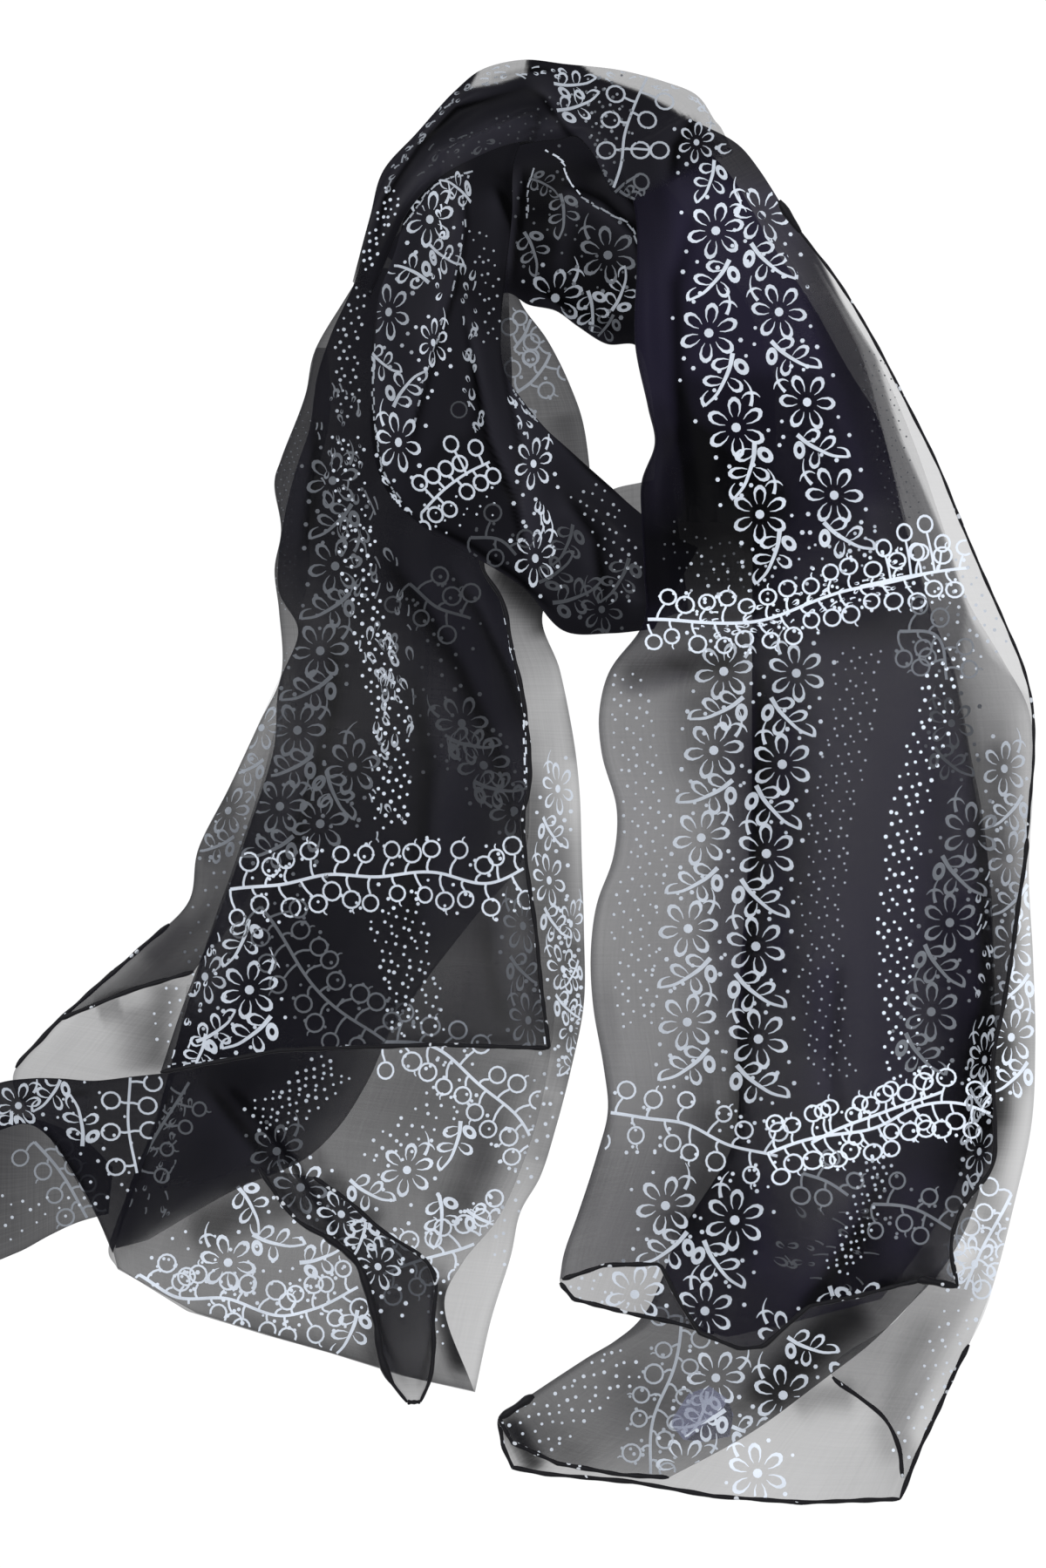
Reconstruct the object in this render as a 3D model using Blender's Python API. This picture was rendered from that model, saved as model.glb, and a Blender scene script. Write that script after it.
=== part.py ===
"""A sheer stole, wound once round a neck and laid flat, as closed walls of cloth.

The stole lies on the XY plane with its loop towards +Y and its two tails towards -Y.
The right tail comes off the top of the loop, and the left tail comes from under the crossing.
Every stretch is a strip: a table gives its sections, one row each, and a second table gives its
folds. Strips are laid in order, each one resting on what already lies below it.
"""

import bpy
import bmesh
import numpy as np

# ---------------------------------------------------------------- driving sizes, in millimetres
WALL = 1.2          # thickness of a layer of cloth with the air in its folds
SEAM = 0.3          # gap from a layer to what it rests on
EDGE_ROUND = 1.6    # how far a folded edge bulges past its line
CELL_ALONG = 15.0   # mesh pitch along a stretch
CELL_ACROSS = 12.0  # mesh pitch across a flat stretch
CELL_PLEATED = 6.5  # mesh pitch across a pleated stretch
GRAIN = 1.0         # pitch of the height map that layers rest on
FINE = 9            # height samples along each side of a mesh cell
SETTLE = 7          # passes that slope a layer off the edge of what lies below it
SLACK = 0.85        # how far each pass goes towards the mean of the points around
HEM_REACH = 0.25    # share of a stretch that a shaped hem pulls along with it
FOLD_FADE = 0.12    # share of a stretch over which a fold rises or dies away
MAP_HALF = (300.0, 400.0)  # half width and half length of the height map
MM = 0.001

# Sections run along the stretch. Each row: left edge x, y, right edge x, y.
# x and y are measured from the middle of the laid out stole.
LEFT_GROUND = (
    # left x, left y, right x, right y
    (-82, 222, 0, 219),
    (-95, 200, 11, 204),
    (-100, 178, 22, 182),
    (-111, 149, 29, 158),
    (-114, 139, 31, 136),
    (-111, 116, 26, 112),
    (-114, 98, 16, 94),
    (-112, 80, 9, 78),
    (-111, 50, 17, 52),
    (-121, 28, 23, 22),
    (-135, -2, 26, -4),
    (-149, -30, 27, -34),
    (-154, -55, 28, -68),
    (-176, -76, 28, -100),
    (-200, -97, 22, -131),
    (-220, -116, 15, -158),
    (-234, -137, 8, -180),
    (-216, -164, -1, -196),
    (-198, -194, -6, -218),
    (-189, -212, -15, -247),
    (-186, -222, -22, -279),
)
LEFT_RIM = (
    (-95, 200, -90, 200),
    (-100, 178, -88, 178),
    (-111, 149, -92, 152),
    (-114, 139, -96, 139),
    (-111, 116, -98, 116),
    (-114, 98, -98, 98),
    (-112, 85, -103, 74),
)
LEFT_LOBE = (
    (-111, 50, -100, 50),
    (-121, 28, -106, 28),
    (-135, -2, -110, -2),
    (-149, -30, -118, -30),
    (-154, -55, -128, -55),
    (-174, -74, -138, -70),
    (-195, -93, -145, -78),
    (-213, -108, -151, -86),
)
LEFT_SECOND = (
    (-154, -92, 16, -80),
    (-158, -116, 14, -112),
    (-163, -135, 9, -144),
    (-171, -160, 0, -174),
    (-179, -181, -12, -200),
    (-184, -200, -28, -220),
    (-187, -214, -37, -234),
    (-180, -224, -24, -273),
)
LEFT_MIDDLE = (
    (-113, 28, 2, 20),
    (-120, 0, 3, -8),
    (-132, -36, -1, -36),
    (-142, -64, -22, -61),
    (-151, -92, -46, -92),
    (-158, -116, -62, -116),
    (-163, -135, -70, -134),
    (-170, -160, -86, -159),
    (-179, -181, -102, -173),
    (-184, -198, -132, -186),
    (-187, -213, -172, -209),
)
LEFT_TIE = (
    (-121, -176, -96, -180),
    (-104, -199, -80, -191),
    (-86, -210, -64, -205),
    (-74, -223, -44, -219),
    (-70, -236, -40, -228),
    (-67, -248, -41, -244),
    (-63, -260, -42, -258),
    (-56, -276, -45, -279),
)
# The corner runs towards -X: its left edge is the lower one.
CORNER_UNDER = (
    (-190, -197, -188, -176),
    (-204, -201, -200, -164),
    (-217, -207, -216, -156),
    (-232, -215, -232, -152),
    (-252, -220, -250, -150),
    (-261, -214, -262, -158),
)
CORNER_UPPER = (
    (-188, -215, -165, -133),
    (-193, -203, -180, -134),
    (-198, -192, -196, -136),
    (-206, -178, -212, -138),
    (-216, -163, -226, -139),
    (-226, -156, -240, -141),
    (-244, -160, -254, -147),
)
LEFT_PANEL = (
    (-69, 258, -10, 282),
    (-78, 228, -7, 240),
    (-88, 206, -6, 208),
    (-94, 188, -5, 184),
    (-98, 162, -8, 152),
    (-104, 144, -14, 126),
    (-109, 124, -18, 110),
    (-112, 104, -18, 98),
    (-112, 89, -10, 85),
    (-103, 70, -5, 62),
    (-111, 48, 0, 40),
    (-115, 12, 3, 0),
    (-124, -16, 0, -16),
    (-132, -40, 2, -40),
    (-140, -62, 6, -68),
    (-149, -84, 8, -90),
    (-157, -105, 10, -106),
    (-166, -132, 12, -121),
)
# Round the loop the left edge is the inner one.
BACK_INNER = (
    (58, 120, 112, 120),
    (61, 156, 116, 160),
    (58, 184, 112, 196),
    (52, 201, 96, 232),
    (38, 202, 72, 266),
    (25, 210, 50, 286),
    (15, 217, 26, 296),
    (2, 220, 0, 296),
    (-6, 225, -22, 286),
    (-16, 222, -44, 268),
    (-28, 208, -64, 244),
)
CROSSING_UNDER = (
    (14, 88, 32, 128),
    (38, 74, 41, 135),
    (56, 74, 54, 138),
    (76, 80, 68, 140),
)
CROSSING = (
    (-52, 266, -4, 284),
    (-58, 244, -5, 260),
    (-66, 222, -7, 232),
    (-69, 200, -8, 210),
    (-70, 178, -6, 190),
    (-68, 149, 2, 176),
    (-61, 132, 10, 163),
    (-46, 118, 20, 154),
    (-24, 105, 30, 145),
    (0, 90, 40, 136),
    (19, 70, 51, 126),
    (40, 69, 64, 116),
    (60, 71, 80, 108),
)
BACK_OUTER = (
    (51, 266, 96, 289),
    (41, 271, 88, 304),
    (32, 288, 78, 317),
    (25, 296, 65, 322),
    (16, 295, 46, 327),
    (5, 294, 20, 330),
    (-8, 291, -1, 332),
    (-18, 287, -18, 328),
    (-32, 280, -31, 317),
    (-44, 271, -48, 296),
    (-54, 258, -62, 278),
    (-62, 240, -70, 260),
    (-70, 222, -78, 230),
)
# The tail under the right panel: one cloth folded along its left edge.
RIGHT_UNDER_FOLD = (
    # left x, left y, right x and y of the lower leaf, right x and y of the upper leaf
    (100, 228, 138, 234, 140, 226),
    (102, 192, 162, 196, 156, 194),
    (104, 156, 178, 160, 166, 158),
    (106, 120, 192, 120, 176, 120),
    (106, 84, 203, 86, 185, 84),
    (106, 56, 220, 57, 196, 56),
    (106, 28, 232, 34, 202, 28),
    (106, 0, 234, 4, 207, -2),
    (104, -40, 232, -40, 214, -41),
    (101, -80, 234, -80, 216, -82),
    (99, -120, 235, -120, 216, -122),
    (100, -154, 233, -158, 214, -160),
    (92, -178, 225, -194, 207, -194),
    (76, -200, 218, -222, 194, -220),
    (65, -224, 211, -244, 178, -238),
    (58, -246, 199, -268, 160, -256),
    (36, -260, 190, -288, 138, -273),
    (16, -273, 182, -305, 107, -296),
    (-11, -291, 173, -328, 67, -318),
)
RIGHT_TURNED_EDGE = (
    (220, -200, 223, -202),
    (200, -226, 216, -228),
    (176, -252, 205, -256),
    (142, -274, 196, -276),
    (159, -293, 187, -294),
    (171, -308, 180, -309),
    (173, -318, 176, -319),
)
# The panel on top of the right tail: one cloth folded along its left edge.
RIGHT_PANEL_FOLD = (
    (52, 262, 94, 280, 98, 286),
    (53, 240, 112, 244, 123, 255),
    (52, 202, 134, 216, 145, 229),
    (58, 172, 150, 188, 163, 199),
    (61, 155, 162, 168, 178, 170),
    (55, 138, 169, 144, 190, 146),
    (55, 120, 174, 122, 199, 124),
    (56, 96, 182, 96, 210, 98),
    (55, 71, 190, 71, 222, 71),
    (41, 53, 197, 54, 229, 54),
    (36, 35, 201, 36, 233, 38),
    (37, 14, 205, 14, 234, 16),
    (44, -12, 210, -12, 232, -10),
    (42, -35, 213, -35, 230, -34),
    (35, -54, 214, -54, 227, -54),
    (32, -77, 215, -77, 224, -77),
    (33, -101, 214, -101, 220, -101),
    (38, -130, 210, -130, 215, -129),
    (40, -150, 208, -152, 216, -152),
    (35, -170, 202, -174, 215, -174),
    (26, -198, 190, -200, 200, -196),
    (20, -215, 180, -216, 196, -213),
    (18, -227, 164, -236, 199, -230),
)

# A hem that isn't straight. Each row: share of the way across, drop past the last section.
HEM_STRAIGHT = ((0, 0), (1, 0))
HEM_GROUND = ((0, 0), (0.2, 8.5), (0.42, 7), (0.6, 5), (0.8, 4), (1, 0))
HEM_LOBE = ((0, 0), (0.5, -4), (1, 0))
HEM_SECOND = ((0, 0), (0.3, 8), (0.7, 7), (1, 0))
HEM_LEFT_PANEL = ((0, 0), (0.3, -7), (0.7, -5), (1, 0))
HEM_UNDER_LOWER = (
    (0, 0), (0.06, 14), (0.12, 24), (0.2, 24), (0.4, 19), (0.6, 18), (0.8, 12), (1, 0),
)
HEM_UNDER_UPPER = ((0, 0), (0.2, 11), (0.5, 14), (0.8, 8), (1, 0))
HEM_PANEL_LOWER = ((0, 2), (0.07, 10), (0.26, 15), (0.4, 18), (0.6, 24), (0.75, 16), (1, 0))
HEM_PANEL_UPPER = (
    (0, 0), (0.11, -7), (0.25, -8), (0.29, 8), (0.34, 23), (0.44, 30), (0.5, 29),
    (0.62, 10), (0.75, 5), (0.91, -3), (1, 0),
)

# Folds run along a stretch. Each row: share across at its start, share across at its end,
# start and end as shares along, half width, height.
FOLDS_LEFT_PANEL = (
    (0.10, 0.10, 0.10, 0.95, 9, 2.2),
    (0.30, 0.27, 0.15, 0.80, 12, 3.4),
    (0.52, 0.48, 0.10, 0.70, 13, 3.0),
    (0.74, 0.70, 0.20, 0.98, 12, 3.2),
    (0.93, 0.94, 0.35, 1.00, 7, 1.8),
)
FOLDS_LEFT_MIDDLE = (
    (0.25, 0.35, 0.05, 0.80, 13, 1.8),
    (0.65, 0.60, 0.10, 0.90, 14, 2.0),
)
FOLDS_LEFT_LOBE = ((0.45, 0.30, 0.10, 1.00, 9, 1.6),)
FOLDS_LEFT_SECOND = (
    (0.30, 0.20, 0.15, 1.00, 14, 1.6),
    (0.78, 0.86, 0.10, 1.00, 12, 2.0),
)
FOLDS_TIE = ((0.30, 0.30, 0.00, 1.00, 5, 1.8),)
FOLDS_CORNER = ((0.35, 0.30, 0.00, 0.80, 8, 1.6),)
FOLDS_BACK_INNER = (
    (0.16, 0.22, 0.05, 0.95, 5, 2.6),
    (0.38, 0.42, 0.10, 1.00, 6, 3.0),
    (0.62, 0.60, 0.00, 0.90, 6, 2.8),
    (0.84, 0.80, 0.05, 0.90, 5, 2.0),
)
FOLDS_CROSSING = (
    (0.08, 0.06, 0.10, 0.95, 4.0, 3.0),
    (0.22, 0.16, 0.00, 0.90, 4.0, 3.6),
    (0.36, 0.30, 0.05, 1.00, 4.5, 3.2),
    (0.50, 0.44, 0.00, 0.95, 4.0, 4.2),
    (0.66, 0.60, 0.00, 0.85, 4.0, 3.0),
    (0.80, 0.78, 0.10, 1.00, 4.0, 3.6),
    (0.93, 0.92, 0.05, 0.90, 3.5, 2.4),
)
FOLDS_BACK_OUTER = (
    (0.14, 0.20, 0.10, 0.95, 4.5, 1.6),
    (0.50, 0.58, 0.00, 0.85, 4.0, 3.4),
    (0.72, 0.86, 0.05, 0.80, 4.5, 3.0),
    (0.90, 0.94, 0.00, 0.60, 4.0, 1.8),
)
FOLDS_UNDER_UPPER = (
    (0.10, 0.15, 0.20, 1.00, 12, 2.0),
    (0.45, 0.50, 0.15, 0.95, 16, 2.4),
    (0.82, 0.85, 0.30, 1.00, 12, 2.0),
)
FOLDS_TURNED_EDGE = ((0.50, 0.50, 0.10, 0.90, 7, 1.4),)
FOLDS_PANEL_LOWER = (
    (0.20, 0.24, 0.30, 1.00, 14, 1.6),
    (0.60, 0.55, 0.10, 0.80, 16, 1.8),
)
FOLDS_PANEL_UPPER = (
    (0.08, 0.07, 0.02, 0.98, 7, 2.8),
    (0.26, 0.20, 0.00, 0.60, 10, 3.4),
    (0.36, 0.40, 0.35, 1.00, 12, 4.6),
    (0.52, 0.50, 0.00, 0.55, 11, 3.6),
    (0.64, 0.66, 0.45, 1.00, 14, 3.8),
    (0.76, 0.78, 0.00, 0.80, 12, 3.2),
    (0.92, 0.92, 0.20, 1.00, 8, 2.4),
)

# Base colour and roughness of each stretch.
SHEER_BLACK = (0.020, 0.020, 0.024)
SHEER_GREY = (0.110, 0.108, 0.115)
SHEER_LIGHT = (0.300, 0.298, 0.310)


# ---------------------------------------------------------------- sections to a grid of points
def smooth_rows(rows, count):
    """The rows at count even steps along the stretch, on a smooth curve through them."""
    table = np.array(rows, float)
    middle = (table[:, 0:2] + table[:, 2:4]) / 2
    steps = np.hypot(*np.diff(middle, axis=0).T)
    along = np.concatenate(([0], np.cumsum(steps)))
    slope = np.gradient(table, along, axis=0)
    wanted = np.linspace(0, along[-1], count)
    k = np.clip(np.searchsorted(along, wanted, side="right") - 1, 0, len(along) - 2)
    span = (along[k + 1] - along[k])[:, None]
    t = ((wanted - along[k]) / (along[k + 1] - along[k]))[:, None]
    return (
        (2 * t**3 - 3 * t**2 + 1) * table[k]
        + (t**3 - 2 * t**2 + t) * span * slope[k]
        + (3 * t**2 - 2 * t**3) * table[k + 1]
        + (t**3 - t**2) * span * slope[k + 1]
    )


def length_of(rows):
    table = np.array(rows, float)
    middle = (table[:, 0:2] + table[:, 2:4]) / 2
    return np.hypot(*np.diff(middle, axis=0).T).sum()


class Leaf:
    """One layer of cloth: a grid of plan points, and the heights of its underside and its top."""

    def __init__(self, rows, hem=HEM_STRAIGHT, across=None, along=None, pitch=CELL_ACROSS):
        table = np.array(rows, float)
        widest = np.hypot(*(table[:, 2:4] - table[:, 0:2]).T).max()
        along = along or max(4, round(length_of(rows) / CELL_ALONG))
        across = across or max(3, round(widest / pitch))
        sections = smooth_rows(rows, along + 1)
        self.share = np.linspace(0, 1, across + 1)
        left, right = sections[:, None, 0:2], sections[:, None, 2:4]
        plan = left + self.share[None, :, None] * (right - left)
        middle = plan[:, across // 2]
        ahead = middle[-1] - middle[-2]
        ahead /= np.hypot(*ahead)
        drop = np.interp(self.share, *np.array(hem, float).T)
        near_end = np.clip(1 - (1 - np.linspace(0, 1, along + 1)) / HEM_REACH, 0, 1) ** 2
        self.plan = plan + near_end[:, None, None] * drop[None, :, None] * ahead
        self.bottom = np.zeros(plan.shape[:2])
        self.top = self.bottom + WALL

    def folds(self, table):
        """Height of the leaf's folds at each of its points."""
        rows, columns = self.bottom.shape
        along = np.linspace(0, 1, rows)[:, None]
        width = np.hypot(*np.moveaxis(self.plan[:, -1] - self.plan[:, 0], -1, 0))[:, None]
        height = np.zeros((rows, columns))
        for start, end, begin, finish, half, rise in table:
            centre = start + (end - start) * along
            spread = (self.share[None, :] - centre) * width / half
            inside = np.clip((along - begin) / FOLD_FADE, 0, 1)
            if finish < 1:
                inside = inside * np.clip((finish - along) / FOLD_FADE, 0, 1)
            height = np.maximum(height, rise * inside * np.exp(-spread**2))
        return height


# ---------------------------------------------------------------- laying leaves on each other
class HeightMap:
    """How high the cloth already reaches over each spot of the floor."""

    def __init__(self):
        self.shape = tuple(int(2 * half / GRAIN) for half in MAP_HALF)
        self.height = np.zeros(self.shape)

    def spots(self, plan):
        x = ((plan[..., 0] + MAP_HALF[0]) / GRAIN).astype(int)
        y = ((plan[..., 1] + MAP_HALF[1]) / GRAIN).astype(int)
        return x, y

    def add(self, leaf):
        x, y = self.spots(finer(leaf.plan))
        top = finer(leaf.top[..., None])[..., 0]
        for i in (-1, 0, 1):
            for j in (-1, 0, 1):
                np.maximum.at(self.height, (x + i, y + j), top)

    def under(self, leaf):
        """The highest spot that any cell at each of the leaf's points must clear."""
        x, y = self.spots(finer(leaf.plan))
        found = self.height[x, y]
        rows, columns = leaf.bottom.shape
        cells = np.zeros((rows - 1, columns - 1))
        for i in range(rows - 1):
            for j in range(columns - 1):
                patch = found[i * FINE:(i + 1) * FINE + 1, j * FINE:(j + 1) * FINE + 1]
                cells[i, j] = patch.max()
        padded = np.pad(cells, 1)
        return np.maximum.reduce([padded[:-1, :-1], padded[1:, :-1], padded[:-1, 1:], padded[1:, 1:]])

    def clearance(self, leaf, height):
        """The least distance from the leaf, at these heights, down to the cloth that it lies on."""
        below = self.height[self.spots(finer(leaf.plan))]
        gap = finer(height[..., None])[..., 0] - below
        return gap[below > 0].min()


def finer(grid):
    """The grid with FINE steps in place of each one, by straight lines between its points."""
    for axis in (0, 1):
        grid = np.moveaxis(grid, axis, 0)
        steps = np.linspace(0, len(grid) - 1, (len(grid) - 1) * FINE + 1)
        k = np.minimum(steps.astype(int), len(grid) - 2)
        t = (steps - k)[(...,) + (None,) * (grid.ndim - 1)]
        grid = np.moveaxis(grid[k] * (1 - t) + grid[k + 1] * t, 0, axis)
    return grid


def settle(need):
    """Heights no lower than need, sloping gently where it steps down."""
    height = need.copy()
    for _ in range(SETTLE):
        padded = np.pad(height, 1, mode="edge")
        mean = (padded[:-2, 1:-1] + padded[2:, 1:-1] + padded[1:-1, :-2] + padded[1:-1, 2:]) / 4
        height = np.maximum(need, (1 - SLACK) * height + SLACK * mean)
    return height


def lay(pile, leaf, folds=(), crown=0.0):
    """Rests the leaf on the pile. With a crown it is a heap: flat below and rounded on top."""
    under = pile.under(leaf)
    need = np.where(under > 0, under + SEAM, 0)
    rest = need
    raised = leaf.folds(folds)
    if under.max() > 0:
        rest = settle(need)
        rest = np.maximum(rest - pile.clearance(leaf, rest) + SEAM, 0)
    if crown:
        leaf.bottom = rest
        round_top = np.sqrt(np.clip(1 - (2 * leaf.share - 1) ** 2, 0, 1))
        leaf.top = rest + WALL + crown * round_top[None, :] + raised
    elif under.max() > 0:
        leaf.bottom = rest + raised
        leaf.top = leaf.bottom + WALL
    else:
        leaf.bottom = rest
        leaf.top = rest + WALL + raised
    pile.add(leaf)
    return leaf


# ---------------------------------------------------------------- leaves to closed meshes
def wall_rings(leaf):
    """Two matching runs of points across each section: the underside's and the top's."""
    low = np.concatenate([leaf.plan, leaf.bottom[..., None]], axis=-1)
    high = np.concatenate([leaf.plan, leaf.top[..., None]], axis=-1)
    return low, high


def folded_rings(lower, upper):
    """The runs of a cloth that goes in along its lower leaf, round its left edge and back."""
    outer_in, inner_in = (run[:, ::-1] for run in wall_rings(lower))
    inner_out, outer_out = wall_rings(upper)
    outward = lower.plan[:, 0] - lower.plan[:, 1]
    outward /= np.hypot(*outward.T)[:, None]

    def bend(start, end, reach):
        points = []
        for turn in (0.3, 0.7):
            point = start + (end - start) * turn
            point[:, :2] += outward * reach
            points.append(point)
        return np.stack(points, axis=1)

    outer = np.concatenate([outer_in, bend(outer_in[:, -1], outer_out[:, 0], EDGE_ROUND), outer_out], 1)
    inner = np.concatenate([inner_in, bend(inner_in[:, -1], inner_out[:, 0], EDGE_ROUND / 3), inner_out], 1)
    return outer, inner


def closed_mesh(name, outer, inner, colour):
    """A solid between two runs of points, closed along both sides and at both ends."""
    rows, columns = outer.shape[:2]
    mesh = bmesh.new()
    skins = [[[mesh.verts.new(point * MM) for point in row] for row in skin] for skin in (outer, inner)]
    first, second = skins
    for i in range(rows - 1):
        for j in range(columns - 1):
            mesh.faces.new((first[i][j], first[i + 1][j], first[i + 1][j + 1], first[i][j + 1]))
            mesh.faces.new((second[i][j], second[i][j + 1], second[i + 1][j + 1], second[i + 1][j]))
    for i in range(rows - 1):
        for j in (0, columns - 1):
            mesh.faces.new((first[i][j], first[i + 1][j], second[i + 1][j], second[i][j]))
    for j in range(columns - 1):
        for i in (0, rows - 1):
            mesh.faces.new((first[i][j], first[i][j + 1], second[i][j + 1], second[i][j]))
    bmesh.ops.recalc_face_normals(mesh, faces=mesh.faces)
    if mesh.calc_volume(signed=True) < 0:
        bmesh.ops.reverse_faces(mesh, faces=mesh.faces)
    bmesh.ops.triangulate(mesh, faces=mesh.faces)
    data = bpy.data.meshes.new(name)
    mesh.to_mesh(data)
    mesh.free()
    data.shade_smooth()
    thing = bpy.data.objects.new(name, data)
    bpy.context.scene.collection.objects.link(thing)
    data.materials.append(cloth_material(name, colour))
    return thing


def cloth_material(name, colour):
    material = bpy.data.materials.new(name)
    material.use_nodes = True
    shader = material.node_tree.nodes["Principled BSDF"]
    shader.inputs["Base Color"].default_value = (*colour, 1)
    shader.inputs["Roughness"].default_value = 0.55
    shader.inputs["Metallic"].default_value = 0
    return material


def wall(name, leaf, colour):
    return closed_mesh(name, *wall_rings(leaf), colour)


def folded_wall(name, lower, upper, colour):
    return closed_mesh(name, *folded_rings(lower, upper), colour)


# ---------------------------------------------------------------- the stole
def left_tail(pile):
    ground = lay(pile, Leaf(LEFT_GROUND, HEM_GROUND))
    rim = lay(pile, Leaf(LEFT_RIM))
    lobe = lay(pile, Leaf(LEFT_LOBE, HEM_LOBE), FOLDS_LEFT_LOBE)
    corner_under = lay(pile, Leaf(CORNER_UNDER), FOLDS_CORNER)
    second = lay(pile, Leaf(LEFT_SECOND, HEM_SECOND), FOLDS_LEFT_SECOND)
    middle = lay(pile, Leaf(LEFT_MIDDLE), FOLDS_LEFT_MIDDLE)
    corner_upper = lay(pile, Leaf(CORNER_UPPER), FOLDS_CORNER)
    tie = lay(pile, Leaf(LEFT_TIE), FOLDS_TIE)
    return [
        wall("left_tail_ground", ground, SHEER_LIGHT),
        wall("left_tail_rim", rim, SHEER_GREY),
        wall("left_tail_lobe", lobe, SHEER_GREY),
        wall("left_corner_under", corner_under, SHEER_GREY),
        wall("left_tail_second", second, SHEER_GREY),
        wall("left_tail_middle", middle, SHEER_BLACK),
        wall("left_corner_upper", corner_upper, SHEER_BLACK),
        wall("left_tail_tie", tie, SHEER_BLACK),
    ]


def loop_below(pile):
    inner = lay(pile, Leaf(BACK_INNER, pitch=CELL_PLEATED), FOLDS_BACK_INNER, crown=8.0)
    panel = lay(pile, Leaf(LEFT_PANEL, HEM_LEFT_PANEL), FOLDS_LEFT_PANEL)
    under = lay(pile, Leaf(CROSSING_UNDER))
    crossing = lay(pile, Leaf(CROSSING, pitch=CELL_PLEATED / 1.6), FOLDS_CROSSING, crown=7.0)
    return [
        wall("neck_back_inner", inner, SHEER_BLACK),
        wall("left_tail_panel", panel, SHEER_BLACK),
        wall("neck_crossing_under", under, SHEER_GREY),
        wall("neck_crossing", crossing, SHEER_BLACK),
    ]


def right_tail(pile):
    under_rows = np.array(RIGHT_UNDER_FOLD, float)
    panel_rows = np.array(RIGHT_PANEL_FOLD, float)
    steps = round(length_of(under_rows[:, :4]) / CELL_ALONG)
    under_lower = lay(pile, Leaf(under_rows[:, :4], HEM_UNDER_LOWER, along=steps))
    turned = lay(pile, Leaf(RIGHT_TURNED_EDGE), FOLDS_TURNED_EDGE)
    under_upper = lay(
        pile, Leaf(under_rows[:, [0, 1, 4, 5]], HEM_UNDER_UPPER, along=steps), FOLDS_UNDER_UPPER
    )
    steps = round(length_of(panel_rows[:, :4]) / CELL_ALONG)
    panel_lower = lay(
        pile, Leaf(panel_rows[:, :4], HEM_PANEL_LOWER, along=steps), FOLDS_PANEL_LOWER
    )
    panel_upper = lay(
        pile, Leaf(panel_rows[:, [0, 1, 4, 5]], HEM_PANEL_UPPER, along=steps), FOLDS_PANEL_UPPER
    )
    return [
        folded_wall("right_tail_under", under_lower, under_upper, SHEER_GREY),
        wall("right_tail_turned_edge", turned, SHEER_GREY),
        folded_wall("right_tail_panel", panel_lower, panel_upper, SHEER_BLACK),
    ]


def loop_above(pile):
    outer = lay(pile, Leaf(BACK_OUTER, pitch=CELL_PLEATED / 1.4), FOLDS_BACK_OUTER, crown=5.0)
    return [wall("neck_back_outer", outer, SHEER_BLACK)]


def centre(things):
    """Puts the middle of the whole stole's box over the origin."""
    bpy.context.view_layer.update()
    corners = np.array([vertex.co for thing in things for vertex in thing.data.vertices])
    middle = (corners.min(axis=0) + corners.max(axis=0)) / 2
    for thing in things:
        for vertex in thing.data.vertices:
            vertex.co.x -= middle[0]
            vertex.co.y -= middle[1]
    print("middle of the layout, mm:", np.round(middle[:2] / MM, 3))


def main():
    for old in list(bpy.data.objects):
        bpy.data.objects.remove(old)
    pile = HeightMap()
    things = left_tail(pile) + loop_below(pile) + right_tail(pile) + loop_above(pile)
    centre(things)


main()
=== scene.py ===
"""A sheer black stole with a light flower print, wound once round and laid flat, seen from above.

Every stretch of cloth is one thin surface that follows its solid, with its own creases. How many
layers of cloth a surface stands for is stored at its points, and sets how much light it stops;
extra layers along shades and creases also paint shade on it. A painted shine stored at the points
mixes the cloth's colour between dark and light, as painted highlights and shade on the folds.
The print is drawn as flat ribbons and dots just above the surface that carries it.

Tables of sections are in millimetres from the middle of the layout. Tables of shades, creases,
patches and the print are in photo pixels, which mm() turns into the same millimetres.
"""

import math

import bpy
import numpy as np
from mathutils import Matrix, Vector
from mathutils.bvhtree import BVHTree


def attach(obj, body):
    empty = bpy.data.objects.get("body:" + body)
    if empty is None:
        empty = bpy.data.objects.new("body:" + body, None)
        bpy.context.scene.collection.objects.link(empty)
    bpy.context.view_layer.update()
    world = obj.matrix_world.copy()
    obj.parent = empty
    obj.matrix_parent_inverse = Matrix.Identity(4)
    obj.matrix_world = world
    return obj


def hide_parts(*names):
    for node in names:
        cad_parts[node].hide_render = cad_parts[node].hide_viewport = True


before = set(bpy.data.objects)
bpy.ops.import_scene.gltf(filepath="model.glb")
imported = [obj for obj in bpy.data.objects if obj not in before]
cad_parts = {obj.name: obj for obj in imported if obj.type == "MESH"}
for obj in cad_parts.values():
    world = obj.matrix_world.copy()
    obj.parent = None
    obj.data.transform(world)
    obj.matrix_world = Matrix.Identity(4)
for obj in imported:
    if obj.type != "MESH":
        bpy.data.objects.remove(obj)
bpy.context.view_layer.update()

# ---------------------------------------------------------------- the photo's frame
PHOTO_SIZE = (1200, 1799)            # pixels
PIXEL = 0.4                          # millimetres of cloth to a photo pixel
SHIFT = np.array((13.502, -1.271))   # from the middle of the layout to the frame's origin, mm
CAMERA_HEIGHT = 3.0                  # metres
SENSOR = 36.0                        # long side of the camera's sensor, mm
MM = 0.001

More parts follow.
